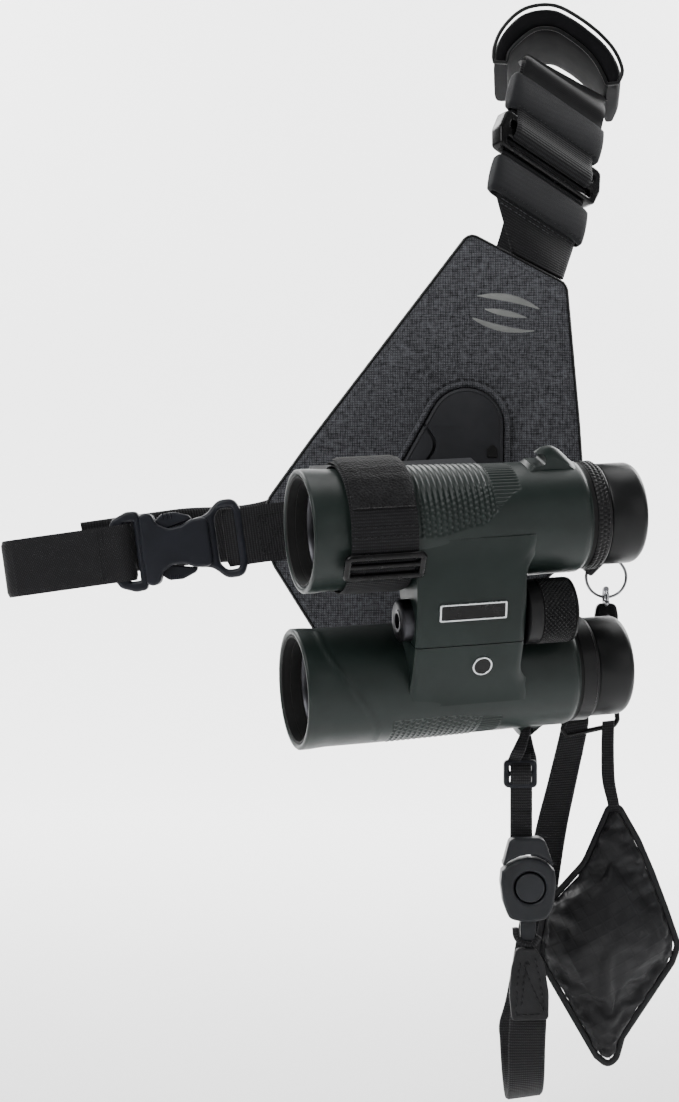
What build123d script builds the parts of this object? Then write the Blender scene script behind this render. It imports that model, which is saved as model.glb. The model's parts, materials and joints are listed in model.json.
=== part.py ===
from build123d import *
import math
import os

# Chest harness with a twist-lock plate, the binocular that it carries, and its tethered pouch.
# Millimetres.  Origin: where the twist-lock axis meets the chest side of the panel.
# X runs to the right as seen from in front, Z is up, and +Y points at the wearer's chest.

# Panel
PANEL_THICK = 7.0
LINING_THICK = 1.2
FACE_THICK = 1.4
BINDING_WIDTH = 1.3
PANEL_CORNERS = [(12.5, 127), (-57, 36), (-78, 7), (-74.5, -19), (-40, -74),
                 (-16, -79), (65, -11), (61.5, 42), (56, 104)]
PANEL_RADII = [5, 60, 14, 12, 14, 12, 8, 60, 6]

# Twist lock
RECEPTOR_FRONT = 12.0
RECEPTOR_EYE = (11.0, 41.3)
RECEPTOR_EYE_RADIUS = 16.4
RECEPTOR_SEAT_RADIUS = 27.0
HUB_RADIUS = 13.0
HUB_FIT = 0.05
HUB_FLANGE_RADIUS = 21.0
TRIM_WIDTH = 3.0
TRIM_THICK = 1.0
BACKPLATE_THICK = 1.5
SCREW_RADIUS = 1.5
SCREW_CIRCLE = 23.0
SCREW_ANGLES = [195, 270, 345]

# Side strap and its side-release buckle, in the strap's own plane
STRAP_WIDTH = 25.0
STRAP_THICK = 1.8
STRAP_SLOPE = 8.0
SIDE_START = (-70.5, -5.4, -5.0)
BUCKLE_THICK = 10.0
BUCKLE_MOUTH = 60.0
TAB_LAYER = 1.6
TAB_FOLD = 22.5
WEB_SLOT = (19.2, 27.6)
PRONG_ACROSS = 9.0
PRONG_SETBACK = 1.5
PRONG_PIN = 1.0
ELASTIC_TURN = 8.0
ELASTIC_BEND = 115.0
ELASTIC_TAIL = 28.0

# Shoulder strap, in its own leaning plane
SHOULDER_WIDTH = 50.0
SHOULDER_THICK = 2.0
SHOULDER_CENTRE = (47.3, 12.0, 156.5)
SHOULDER_ACROSS = (0.765, 0.510, -0.394)
SHOULDER_FRONT = (0.6095, -0.771, 0.1856)
SHOULDER_RUN = (-26.0, 44.0)
KEEPER_LOWER = (-25.0, -7.0)
KEEPER_UPPER = (18.0, 36.0)
KEEPER_THICK = 1.4
SLIDER_RUN = (-3.5, 13.5)
SLIDER_THICK = 2.0
SLIDER_EAR = 4.0
SLIDER_SLOT = 3.5
SLIDER_SLOTS = (-0.5, 7.0)
PAD_FRONT, PAD_BACK = 52.0, 100.0
PAD_LEAN = (4, 0, -9)

# Binocular: x from the objectives to the eyecups, y from the lower to the upper barrel, z to the front
BINO_ORIGIN = (-61.9, -86.2, -38.2)
BINO_ALONG = (0.9619, 0.2668, 0.0593)
BINO_FRONT = (0.2706, -0.9001, -0.3414)
BARREL_OFFSET = 34.3
HINGE_HEIGHT = 17.0
FRONT_RADIUS = 25.0
REAR_RADIUS = 23.3
TUBE_RADIUS = 22.0
TUBE_BORE = 20.8
LENS_SEAT = 11.0
LENS_RADIUS = 20.2
RING_RADIUS = 22.4
EYECUP_RADIUS = 20.9
EYE_TUBE_RADIUS = 17.0
EYE_BORE = 12.0
SLEEVE_RADIUS = 18.6
SLEEVE_END = 138.0
BARREL_LENGTH = 117.5
EYECUP_START = 126.5
EYECUP_END = 143.5
BRIDGE_START, BRIDGE_END = 42.0, 88.5
WHEEL_START, WHEEL_END = 89.5, 111.5
WHEEL_RADIUS = 13.8
SHAFT_START = 36.0
SHAFT_RADIUS = 4.0
CAP_START = 38.0
CAP_RADIUS = 9.0
KNUCKLE_RADIUS = 11.5
KNUCKLE_SLOT = (60.0, 68.0)
CARRIER_RUN = (40.0, 46.0)
LUG_MIDDLE = 103.0
LUG_SLOT = (23.6, 28.6)
LUG_TIP = 31.0
LUG_HALF_THICK = 3.0
UPPER_LUG_RUN = (94.0, 118.0)
UPPER_LUG_HALF_SLOT = 6.0
LOWER_LUG_RUN = (96.0, 110.0)
LOWER_LUG_HALF_SLOT = 4.8
RUNNING_FIT = 0.05
GAP = 0.4
TRIPOD_RADIUS = 3.175
TRIPOD_DEPTH = 8.0

# Adapter: where it lies along the upper barrel, and how far it reaches behind the barrel's axis
CRADLE_RUN = (12.0, 82.0)
CRADLE_HALF = 17.0
CRADLE_FRONT, CRADLE_BACK = -17.0, -31.0
HUB_THICK = 4.6
POST_LOW_RADIUS, POST_HIGH_RADIUS = 17.0, 12.0
POST_END = -62.0
WRAP_RUN = (14.5, 41.5)
WRAP_RADIUS = 26.4

# Leash, tether and pouch: depths in front of (negative Y) or behind the panel's back plane
LEASH_Y = -41.0
RELEASE_Y = -44.0
RELEASE_HALF = 6.0
BUTTON_CENTRE = (35.9, -155.3)
BUTTON_RADIUS = 6.2
BUTTON_WELL = 6.6
SPRING_THICK = 0.3
CORD_RADIUS = 1.0
TETHER_Y = 9.0
TETHER_WIDTH = 15.6
POUCH_BACK, POUCH_FRONT = 5.0, -17.0
RING_CENTRE = (73.0, -3.5, -25.2)
RING_RADIUS_OUT = 10.0
RING_WIRE = 1.2
CLAW_RADIUS = 4.5
CLAW_WIRE = 1.3
HOOK_LENGTH = 22.0
RING_TAB_OUTER, RING_TAB_INNER = 3.7, 2.8

parts = {}


def add(name, shape):
    """Keep a finished sub-part under its node name."""
    parts[name] = shape


def facing(y):
    """A plane that faces the front, at depth y: its x is X and its y is Z."""
    return Plane(origin=(0, y, 0), x_dir=(1, 0, 0), z_dir=(0, -1, 0))


def slab(face, back, front):
    """A flat face in X and Z, made solid from depth back to the nearer depth front."""
    return extrude(facing(back) * face, amount=back - front)


def rounded(points, radii):
    """A closed outline with one radius for each corner."""
    return make_face(FilletPolyline(*points, radius=radii, close=True))


def polygon(points):
    """A closed outline with sharp corners."""
    return make_face(Polyline(*points, close=True))


def ribbon(stations, thick, facing_way):
    """A strap of constant thickness through pairs of left and right edge points."""
    push = Vector(*facing_way).normalized() * (thick / 2)
    faces = []
    for left, right in stations:
        left, right = Vector(*left), Vector(*right)
        corners = [left - push, right - push, right + push, left + push]
        faces.append(make_face(Polyline(*corners, close=True)))
    return loft(faces, ruled=True)


def rod(radius, start, end, across=0.0, height=0.0):
    """A solid cylinder along the binocular."""
    place = Pos((start + end) / 2, across, height) * Rot(0, 90, 0)
    return place * Cylinder(radius, end - start)


def pipe(outer, inner, start, end, across=0.0, height=0.0):
    """A hollow cylinder along the binocular."""
    return rod(outer, start, end, across, height) - rod(inner, start, end, across, height)


def turned(points, across=0.0, height=0.0):
    """A profile of (along, radius) points, turned about an axis along the binocular."""
    return Pos(0, across, height) * revolve(polygon(points), Axis.X)


def block(low, high):
    """A box between two corners."""
    middle = [(a + b) / 2 for a, b in zip(low, high)]
    return Pos(*middle) * Box(*[b - a for a, b in zip(low, high)])


BINO = Plane(origin=BINO_ORIGIN, x_dir=BINO_ALONG, z_dir=BINO_FRONT)
slope = math.radians(STRAP_SLOPE)
SIDE = Plane(origin=SIDE_START, x_dir=(-math.cos(slope), 0, -math.sin(slope)), z_dir=(0, -1, 0))
SHOULDER = Plane(origin=SHOULDER_CENTRE, x_dir=SHOULDER_ACROSS, z_dir=SHOULDER_FRONT)
PANEL_FACE = -PANEL_THICK


def shoulder_point(across, along, height=0.0):
    """A point in the shoulder strap's plane, in the part's frame."""
    return SHOULDER.from_local_coords(Vector(across, along, height))


def make_panel():
    """Face fabric, foam and lining inside one bound edge, with the plate behind the lock."""
    outline = rounded(PANEL_CORNERS, PANEL_RADII)
    inner = offset(outline, -BINDING_WIDTH)
    seats = [(SCREW_CIRCLE * math.cos(math.radians(a)), SCREW_CIRCLE * math.sin(math.radians(a)))
             for a in SCREW_ANGLES]
    plate_back, plate_front = -LINING_THICK, -LINING_THICK - BACKPLATE_THICK
    holes = [slab(Pos(x, z) * Circle(SCREW_RADIUS), plate_back, -RECEPTOR_FRONT) for x, z in seats]
    add("panel_binding", slab(outline - inner, 0, PANEL_FACE))
    add("panel_lining", slab(inner, 0, -LINING_THICK))
    seat = Circle(RECEPTOR_SEAT_RADIUS)
    backplate = slab(seat, plate_back, plate_front)
    foam = slab(inner, -LINING_THICK, PANEL_FACE + FACE_THICK) - backplate
    face = slab(inner, PANEL_FACE + FACE_THICK, PANEL_FACE)
    eye = Pos(*RECEPTOR_EYE) * Circle(RECEPTOR_EYE_RADIUS)
    plate = slab(make_hull([*eye.edges(), *seat.edges()]), PANEL_FACE, -RECEPTOR_FRONT)
    plate -= slab(Circle(HUB_RADIUS + HUB_FIT), PANEL_FACE, -RECEPTOR_FRONT)
    lip = Pos(*RECEPTOR_EYE) * Circle(RECEPTOR_EYE_RADIUS + TRIM_WIDTH)
    trim = slab(lip, PANEL_FACE, PANEL_FACE - TRIM_THICK) - plate
    for hole in holes:
        foam -= hole
        face -= hole
        plate -= hole
        backplate -= hole
    add("panel_foam", foam)
    add("panel_face", face)
    add("receptor_backplate", backplate)
    add("receptor_plate", plate)
    add("receptor_trim", trim)
    screws = []
    for x, z in seats:
        shank = slab(Pos(x, z) * Circle(SCREW_RADIUS), plate_back, 0.5 - RECEPTOR_FRONT)
        screws.append(shank)
    add("receptor_screws", Compound(children=screws))


def make_side():
    """The webbing tab, the socket and plug of the buckle, and the elastic strap."""
    half, thick = STRAP_WIDTH / 2, STRAP_THICK
    fold, layer = TAB_FOLD, TAB_LAYER
    tab_front = block((-12, -half, layer), (fold, half, layer + thick))
    tab_back = block((8, -half, -layer - thick), (fold, half, -layer))
    tab_fold = block((fold, -half, -layer - thick), (fold + thick, half, layer + thick))
    add("side_tab_webbing", SIDE.location * (tab_front + tab_back + tab_fold))
    depth = BUCKLE_THICK / 2
    shape = rounded([(16, -16.5), (16, 16.5), (31, 13), (36, 9.5), (44, 12), (BUCKLE_MOUTH, 16),
                     (BUCKLE_MOUTH, -16), (44, -12), (36, -9.5), (31, -13)], [3, 3, 5, 4, 8, 2, 2, 8, 4, 5])
    socket = extrude(Plane.XY.offset(-depth) * shape, amount=2 * depth)
    socket -= block((WEB_SLOT[0], -half - 0.8, -depth), (WEB_SLOT[1], half + 0.8, depth))
    for side in (-1, 1):
        near, far = sorted((side * (layer - 0.1), side * (depth + 1)))
        socket -= block((15, -half - 0.8, near), (20, half + 0.8, far))
    socket -= block((38, -7.6, -2.8), (BUCKLE_MOUTH, 7.6, 2.8))
    socket -= block((45, -14.3, -2.8), (BUCKLE_MOUTH, 14.3, 2.8))
    for side in (-1, 1):
        socket -= block((45, min(side * 9, side * 20), -2.8), (55, max(side * 9, side * 20), 2.8))
    add("buckle_socket", SIDE.location * socket)
    plug = block((BUCKLE_MOUTH + 0.6, -15.5, -4.5), (BUCKLE_MOUTH + 7, 15.5, 4.5))
    plug += block((BUCKLE_MOUTH + 7, -15.5, -3), (BUCKLE_MOUTH + 12, -13.3, 3))
    plug += block((BUCKLE_MOUTH + 7, 13.3, -3), (BUCKLE_MOUTH + 12, 15.5, 3))
    plug += block((BUCKLE_MOUTH + 10.2, -13.3, -2), (BUCKLE_MOUTH + 12, 13.3, 2))
    plug += block((41, -2.5, -2), (BUCKLE_MOUTH + 0.6, 2.5, 2))
    pivot = BUCKLE_MOUTH - PRONG_SETBACK
    for side in (-1, 1):
        middle = side * PRONG_ACROSS
        pin = Pos(pivot, middle, 0) * Cylinder(PRONG_PIN, 5)
        ears = block((BUCKLE_MOUTH - 3, middle - 1.6, -2.5), (BUCKLE_MOUTH + 0.6, middle + 1.6, 2.5))
        ears -= block((BUCKLE_MOUTH - 4, middle - 1.7, -1.5), (BUCKLE_MOUTH + 0.2, middle + 1.7, 1.5))
        plug += ears + pin
        arm = block((47, side * 10.2 - 1.5, -1.2), (pivot, side * 10.2 + 1.5, 1.2))
        arm += Pos(pivot, middle, 0) * Cylinder(1.4, 2.4)
        arm += block((47, side * 11.4 - 1.9, -2.2), (53, side * 11.4 + 1.9, 2.2))
        arm -= Pos(pivot, middle, 0) * Cylinder(PRONG_PIN + RUNNING_FIT, 6)
        add("buckle_prong_upper" if side < 0 else "buckle_prong_lower", SIDE.location * arm)
    add("buckle_plug", SIDE.location * plug)
    front = 2.6
    back = front + thick - 2 * ELASTIC_TURN
    run = block((BUCKLE_MOUTH + 9, -half, front), (ELASTIC_BEND, half, front + thick))
    curl = Cylinder(ELASTIC_TURN, STRAP_WIDTH) - Cylinder(ELASTIC_TURN - thick, STRAP_WIDTH)
    turn = Pos(ELASTIC_BEND, 0, back + ELASTIC_TURN) * Rot(90, 0, 0) * curl
    turn -= block((ELASTIC_BEND - 14, -20, -20), (ELASTIC_BEND, 20, 20))
    back = block((ELASTIC_BEND - ELASTIC_TAIL, -half, back), (ELASTIC_BEND, half, back + thick))
    add("side_elastic", SIDE.location * (run + turn + back))


def make_shoulder():
    """Shoulder webbing with its two keepers and slider, the arched pad and the webbing behind."""
    half = SHOULDER_WIDTH / 2
    low, high = SHOULDER_RUN
    stations = [((31.5, -4.2, 117.6), (54.0, -4.2, 105.8)),
                (shoulder_point(-half, low), shoulder_point(half, low)),
                (shoulder_point(-half, high), shoulder_point(half, high)),
                ((38, 44, 212), (78, 62, 196)),
                ((42, 60, 218), (82, 76, 200))]
    add("shoulder_webbing", ribbon(stations, SHOULDER_THICK, SHOULDER_FRONT))
    inner = SHOULDER_THICK / 2 + GAP

    def sleeve(start, end, thick, wide):
        outer = block((-half - wide, start, -inner - thick), (half + wide, end, inner + thick))
        return SHOULDER.location * (outer - block((-half - GAP, start, -inner), (half + GAP, end, inner)))

    add("keeper_lower", sleeve(*KEEPER_LOWER, KEEPER_THICK, 2.0))
    add("keeper_upper", sleeve(*KEEPER_UPPER, KEEPER_THICK, 2.0))
    frame = sleeve(*SLIDER_RUN, SLIDER_THICK, SLIDER_EAR)
    for start in SLIDER_SLOTS:
        frame -= SHOULDER.location * block((-half + 2, start, -8), (half - 2, start + SLIDER_SLOT, 8))
    add("shoulder_slider", frame)
    arch = [(27, 215), (29, 228), (46, 240), (56, 240), (76, 228), (87, 210), (81, 203)]
    hollow = [(35, 214), (38, 222), (49, 229.5), (56, 229), (70, 220), (78, 206)]
    outline = polygon(arch + hollow[::-1])
    pad_front = facing(PAD_FRONT) * outline
    pad_back = Pos(*PAD_LEAN) * facing(PAD_BACK) * outline
    add("shoulder_pad", loft([pad_front, pad_back], ruled=True))


def make_back_webbing():
    """The webbing that closes the harness behind the panel, as it hangs when laid flat."""
    stations = [((46, 66, 216), (82, 82, 197)),
                ((44, 96, 190), (76, 106, 178)),
                ((26, 84, 120), (50, 88, 104)),
                ((-22, 62, 50), (2, 64, 30)),
                ((-72, 40, 12), (-64, 40, -12)),
                ((-118, 12, 5), (-112, 12, -20)),
                ((-160, 8.5, -1), (-156, 8.5, -25))]
    add("back_webbing", ribbon(stations, STRAP_THICK, (0.3, -1, 0.1)))


def strand(start, end, radius):
    """A round rod from one point to another."""
    start, end = Vector(*start), Vector(*end)
    return extrude(Plane(origin=start, z_dir=end - start) * Circle(radius), amount=(end - start).length)


def make_ring():
    """The ring tab at the panel's corner and the split ring in it."""
    x, y, z = RING_CENTRE
    middle = RING_RADIUS_OUT - RING_WIRE
    add("split_ring", Pos(x, y, z) * Rot(90, 0, 0) * Torus(middle, RING_WIRE))
    corner = middle * math.cos(math.radians(45))
    tab_x, tab_z = x - corner, z + corner
    roll = Cylinder(RING_TAB_OUTER, 7) - Cylinder(RING_TAB_INNER, 7)
    sleeve = Pos(tab_x, y, tab_z) * Rot(0, 45, 0) * roll
    tail = Pos(tab_x - 3, y, tab_z + 4.5) * Rot(0, 35, 0) * Box(8, 2, 7)
    tail -= slab(rounded(PANEL_CORNERS, PANEL_RADII), 0, PANEL_FACE)
    tail -= Pos(tab_x, y, tab_z) * Rot(0, 45, 0) * Cylinder(RING_TAB_OUTER - 0.1, 9)
    add("ring_tab_webbing", sleeve + tail)


def armour(sign):
    """The outside of one barrel as a plain solid, for the shell and for cutting its neighbours."""
    profile = [(0, 0), (0, FRONT_RADIUS - 1.2), (1.2, FRONT_RADIUS), (26, FRONT_RADIUS), (34, 24),
               (BARREL_LENGTH - 3, REAR_RADIUS), (BARREL_LENGTH, REAR_RADIUS - 1.5), (BARREL_LENGTH, 0)]
    return turned(profile, sign * BARREL_OFFSET)


def make_barrel(sign, word):
    """One optical barrel with its glass, rings, eyecup and strap lug."""
    across = sign * BARREL_OFFSET
    shell = armour(sign) - rod(TUBE_RADIUS, -1, BARREL_LENGTH + 1, across)
    lug_start, lug_end = UPPER_LUG_RUN if sign > 0 else LOWER_LUG_RUN
    half_slot = UPPER_LUG_HALF_SLOT if sign > 0 else LOWER_LUG_HALF_SLOT
    slot_start, slot_end = LUG_MIDDLE - half_slot, LUG_MIDDLE + half_slot
    root, tip = sorted((sign * 20, sign * LUG_TIP))
    slot_low, slot_high = sorted((sign * LUG_SLOT[0], sign * LUG_SLOT[1]))
    lug = block((lug_start, across + root, -LUG_HALF_THICK), (lug_end, across + tip, LUG_HALF_THICK))
    lug = fillet(lug.edges().filter_by(Axis.Z), 2.2)
    lug -= block((slot_start, across + slot_low, -8), (slot_end, across + slot_high, 8))
    shell += lug - rod(TUBE_RADIUS + 0.5, 60, 130, across)
    put("armour_" + word, shell)
    tube = pipe(TUBE_RADIUS, TUBE_BORE, 0.5, LENS_SEAT, across)
    tube += pipe(TUBE_RADIUS, LENS_RADIUS, LENS_SEAT, BARREL_LENGTH, across)
    tube += pipe(RING_RADIUS, EYE_BORE, BARREL_LENGTH, BARREL_LENGTH + 1.5, across)
    tube += pipe(EYE_TUBE_RADIUS, EYE_BORE, BARREL_LENGTH, 132, across)
    ring_start = BARREL_LENGTH + 1.8
    if sign > 0:
        ring_bore = EYE_TUBE_RADIUS + RUNNING_FIT
        put("dioptre_ring", pipe(RING_RADIUS, ring_bore, ring_start, EYECUP_START - 0.6, across))
    else:
        tube += pipe(RING_RADIUS, EYE_TUBE_RADIUS, BARREL_LENGTH, EYECUP_START - 0.6, across)
    put("tube_" + word, tube)
    front_lens = turned([(11.5, 0), (13.2, LENS_RADIUS), (16, LENS_RADIUS), (16, 0)], across)
    rear_lens = rod(EYE_BORE, BARREL_LENGTH + 1.5, BARREL_LENGTH + 6, across)
    put("lenses_" + word, Compound(children=[front_lens, rear_lens]))
    prism = block((62, across - 11, -13), (92, across + 11, 13))
    put("prism_" + word, fillet(prism.edges().filter_by(Axis.X), 4))
    sleeve = pipe(SLEEVE_RADIUS, EYE_TUBE_RADIUS + RUNNING_FIT, EYECUP_START, SLEEVE_END, across)
    put("eyecup_sleeve_" + word, sleeve)
    cup_bore = SLEEVE_RADIUS + RUNNING_FIT
    cup = [(EYECUP_START, cup_bore), (EYECUP_START, EYECUP_RADIUS), (EYECUP_END - 4, EYECUP_RADIUS),
           (EYECUP_END - 1, 19.6), (EYECUP_END, 17.6), (EYECUP_END - 1, 15.5), (EYECUP_END - 4.5, 15.2),
           (EYECUP_END - 4.5, cup_bore)]
    put("eyecup_" + word, turned(cup, across))


def put(name, shape):
    """Keep a sub-part that was made in the binocular's own frame."""
    add(name, BINO.location * shape)


def make_bridge():
    """The two halves of the bridge, the shaft they turn on, and the focusing parts."""
    knuckle = rod(KNUCKLE_RADIUS, BRIDGE_START, BRIDGE_END, 0, HINGE_HEIGHT)
    shaft_hole = rod(SHAFT_RADIUS + RUNNING_FIT, 20, 130, 0, HINGE_HEIGHT)
    turn_room = rod(KNUCKLE_RADIUS + GAP, 20, 130, 0, HINGE_HEIGHT)
    web = [(0, 28.5), (18, 27.5), (30, 22), (24, -8), (14, -12), (2, 6)]

    def plank(points):
        face = Plane(origin=(BRIDGE_START, 0, 0), x_dir=(0, 1, 0), z_dir=(1, 0, 0)) * polygon(points)
        return extrude(face, amount=BRIDGE_END - BRIDGE_START)

    slot_start, slot_end = KNUCKLE_SLOT
    slot = block((slot_start, -20, 4), (slot_end, 20, 30)) & turn_room
    upper = knuckle + plank(web) - armour(1) - slot - rod(SHAFT_RADIUS, 20, 130, 0, HINGE_HEIGHT)
    put("bridge_upper", upper)
    lower_web = [(-7.5, 26.5), (-18, 27), (-30, 22), (-24, -8), (-14, -12), (-4, 5)]
    lower = plank(lower_web) - turn_room - armour(-1)
    ear = rod(KNUCKLE_RADIUS, slot_start + GAP, slot_end - GAP, 0, HINGE_HEIGHT)
    arm = block((slot_start + GAP, -16, 8), (slot_end - GAP, 0, 25))
    lower += (ear + arm - armour(-1)) - shaft_hole
    put("bridge_lower", lower)
    socket_end = SHAFT_START + TRIPOD_DEPTH
    bush = pipe(SHAFT_RADIUS, TRIPOD_RADIUS, SHAFT_START, socket_end, 0, HINGE_HEIGHT)
    shaft = rod(SHAFT_RADIUS, socket_end, WHEEL_END + 3, 0, HINGE_HEIGHT)
    put("hinge_shaft", Compound(children=[bush, shaft]))
    put("hinge_cap", pipe(CAP_RADIUS, SHAFT_RADIUS, CAP_START, BRIDGE_START, 0, HINGE_HEIGHT))
    wheel = pipe(WHEEL_RADIUS, SHAFT_RADIUS + RUNNING_FIT, WHEEL_START, WHEEL_END, 0, HINGE_HEIGHT)
    put("focus_wheel", wheel)
    start, end = CARRIER_RUN
    carrier = pipe(LENS_RADIUS - GAP, EYE_BORE, start, end, BARREL_OFFSET)
    put("focus_carrier", Compound(children=[carrier, rod(EYE_BORE, start + 1, end - 1, BARREL_OFFSET)]))
    plate = block((51, 3, 28), (80, 10, 29.2))
    put("name_plate", plate - plank(web) - knuckle)
    put("badge", Pos(71.5, -17, 27) * Cylinder(4.4, 3.2) - plank(lower_web))


def make_adapter():
    """The cradle under the upper barrel, its hub in the receptor, and the strap round both."""
    boss = slab(Circle(HUB_RADIUS), PANEL_FACE - 0.5, -RECEPTOR_FRONT - 0.5)
    flange_front = -RECEPTOR_FRONT - GAP - HUB_THICK
    flange = slab(Circle(HUB_FLANGE_RADIUS), -RECEPTOR_FRONT - GAP, flange_front)
    add("adapter_hub", boss + flange)
    saddle = block((CRADLE_RUN[0], BARREL_OFFSET - CRADLE_HALF, CRADLE_BACK),
                   (CRADLE_RUN[1], BARREL_OFFSET + CRADLE_HALF, CRADLE_FRONT))
    post_low = facing(flange_front) * Circle(POST_LOW_RADIUS)
    post_high = facing(POST_END) * Circle(POST_HIGH_RADIUS)
    post = loft([post_low, post_high])
    cradle = (BINO.location * saddle + post) - BINO.location * armour(1)
    strap = pipe(WRAP_RADIUS, FRONT_RADIUS + 0.02, *WRAP_RUN, BARREL_OFFSET)
    strap -= block((10, -30, -60), (60, BARREL_OFFSET + 40, CRADLE_FRONT))
    add("adapter_cradle", cradle - BINO.location * strap)
    put("adapter_strap", strap)


def make_leash():
    """The leash on the lower barrel's lug, down to the insert of the quick release."""
    y = LEASH_Y
    slot = BINO.from_local_coords(Vector(LUG_MIDDLE, -BARREL_OFFSET - sum(LUG_SLOT) / 2, 0))
    front, back = (slot.X, slot.Y - 7, slot.Z), (slot.X, slot.Y + 9.5, slot.Z)
    left, right = (29.7, y - 1.2, -102.2), (40.0, y + 1.2, -102.2)
    loop = Pos(*front) * Sphere(CORD_RADIUS)
    for start, end in ((front, back), (back, right), (right, left), (left, front)):
        loop += strand(start, end, CORD_RADIUS)
        loop += Pos(*end) * Sphere(CORD_RADIUS)
    add("lug_loop", loop)
    frame = block((25.7, y - 2.5, -114), (40.5, y + 2.5, -103.4))
    frame -= block((29, y - 3, -111.5), (37, y + 3, -106))
    add("leash_slider", frame)
    add("leash_webbing", block((28.2, y - 0.8, -134.5), (37, y + 0.8, -114.4)))
    insert = polygon([(28.7, -134.9), (41, -134.9), (43.9, -143), (25.5, -143)])
    add("release_insert", slab(insert, RELEASE_Y + 5, RELEASE_Y - 5))


def make_release():
    """The quick release's socket, its button, and what hangs under it."""
    body = rounded([(24.6, -147), (45, -147), (46, -154), (43, -168), (35, -170), (27, -168), (23.6, -154)],
                   [2, 2, 8, 4, 10, 4, 8])
    well_floor, button_face = RELEASE_Y - 2, RELEASE_Y - 7
    place = Pos(*BUTTON_CENTRE)
    socket = slab(body, RELEASE_Y + RELEASE_HALF, RELEASE_Y - RELEASE_HALF)
    socket -= slab(place * Circle(BUTTON_WELL), well_floor, button_face)
    add("release_socket", socket)
    add("release_button", slab(place * Circle(BUTTON_RADIUS), well_floor - 2, button_face))
    washer = Circle(5) - Circle(3)
    add("release_spring", slab(place * washer, well_floor, well_floor - SPRING_THICK))
    add("tab_loop", block((30.4, RELEASE_Y - 1, -179.6), (38.5, RELEASE_Y + 1, -170.4)))
    leather = [(30.4, -180), (38.5, -180), (40.8, -186), (43.5, -200),
               (43.5, -212), (28.2, -212), (26.6, -200), (27.6, -191)]
    add("leather_tab", slab(polygon(leather), RELEASE_Y + 1.5, RELEASE_Y - 1.5))


def make_tether():
    """The U-loop and long webbing, the snap hook and its gate."""
    middle = (RELEASE_Y + TETHER_Y) / 2
    radius = (TETHER_Y - RELEASE_Y) / 2
    bend_z = -224.0
    front_leg = ribbon([((28, RELEASE_Y, -212.4), (43.6, RELEASE_Y, -212.4)),
                        ((27.2, RELEASE_Y, bend_z), (42.9, RELEASE_Y, bend_z))], STRAP_THICK, (0, 1, 0))
    half = STRAP_THICK / 2
    bend = Cylinder(radius + half, TETHER_WIDTH) - Cylinder(radius - half, TETHER_WIDTH)
    arc = Pos(34.6, middle, bend_z) * Rot(0, 90, 0) * bend
    arc -= block((0, -90, bend_z), (80, 60, -100))
    back = [((26.8, TETHER_Y, bend_z), (42.4, TETHER_Y, bend_z)),
            ((30.2, TETHER_Y, -211), (46, TETHER_Y, -211)),
            ((42.5, TETHER_Y, -140), (56.5, TETHER_Y, -140)),
            ((53.5, -1.0, -94), (65.5, -1.0, -92))]
    add("tether_webbing", front_leg + arc + ribbon(back, STRAP_THICK, (0, 1, 0)))
    x, y, z = RING_CENTRE
    claw_z = z - RING_RADIUS_OUT + RING_WIRE
    claw = Pos(x, y, claw_z) * Rot(0, 90, 0) * Torus(CLAW_RADIUS - CLAW_WIRE, CLAW_WIRE)
    gate_box = block((x - 3, y - CLAW_RADIUS - 1, claw_z - 1.2), (x + 3, y - 1, claw_z + 2.4))
    room = block((x - 3, y - CLAW_RADIUS - 1, claw_z - 1.8), (x + 3, y + 0.1, claw_z + 2.8))
    add("hook_gate", claw & gate_box)
    foot = claw_z - CLAW_RADIUS + CLAW_WIRE
    eye_top = foot - HOOK_LENGTH
    outline = [(x - 5, foot), (x + 5, foot), (x + 5, foot - 12),
               (x + 3, eye_top), (x - 3, eye_top), (x - 5, foot - 12)]
    body = slab(rounded(outline, [3, 3, 4, 2, 2, 4]), y + 2, y - 2)
    body -= Pos(x, y, claw_z) * Rot(0, 90, 0) * Cylinder(CLAW_RADIUS - 2 * CLAW_WIRE, 12)
    eye = [(x - 3, eye_top), (x + 3, eye_top), (x + 6, -89), (x - 19, -95), (x - 21, -89)]
    gap = [(x - 1.5, eye_top - 3), (x + 1.5, eye_top - 3), (x + 3.6, -85.2), (x - 15.5, -89.5)]
    link = slab(rounded(eye, [1.5, 1.5, 2, 2, 2]) - polygon(gap), y + 1, y - 1)
    add("snap_hook", (claw - room) + body + link)


def make_pouch():
    """The pouch as one plain soft solid, with its strap."""
    corners = [(75, -126), (78, -126), (91, -150), (103.5, -187), (100, -193),
               (74, -238), (66, -231), (42, -190), (42, -184)]
    body = slab(rounded(corners, [2, 2, 30, 4, 4, 4, 4, 4, 4]), POUCH_BACK, POUCH_FRONT)
    add("pouch", body)
    add("pouch_strap", block((71, -6.9, -125.6), (76.4, -5.1, -88)))


make_panel()
make_side()
make_shoulder()
make_back_webbing()
make_ring()
for sign, word in ((1, "upper"), (-1, "lower")):
    make_barrel(sign, word)
make_bridge()
make_adapter()
make_leash()
make_release()
make_tether()
make_pouch()

os.makedirs("parts", exist_ok=True)
for name, shape in parts.items():
    export_step(shape, f"parts/{name}.step")
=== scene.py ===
import json
import math

import bmesh
import bpy
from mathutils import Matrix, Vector, noise


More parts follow.
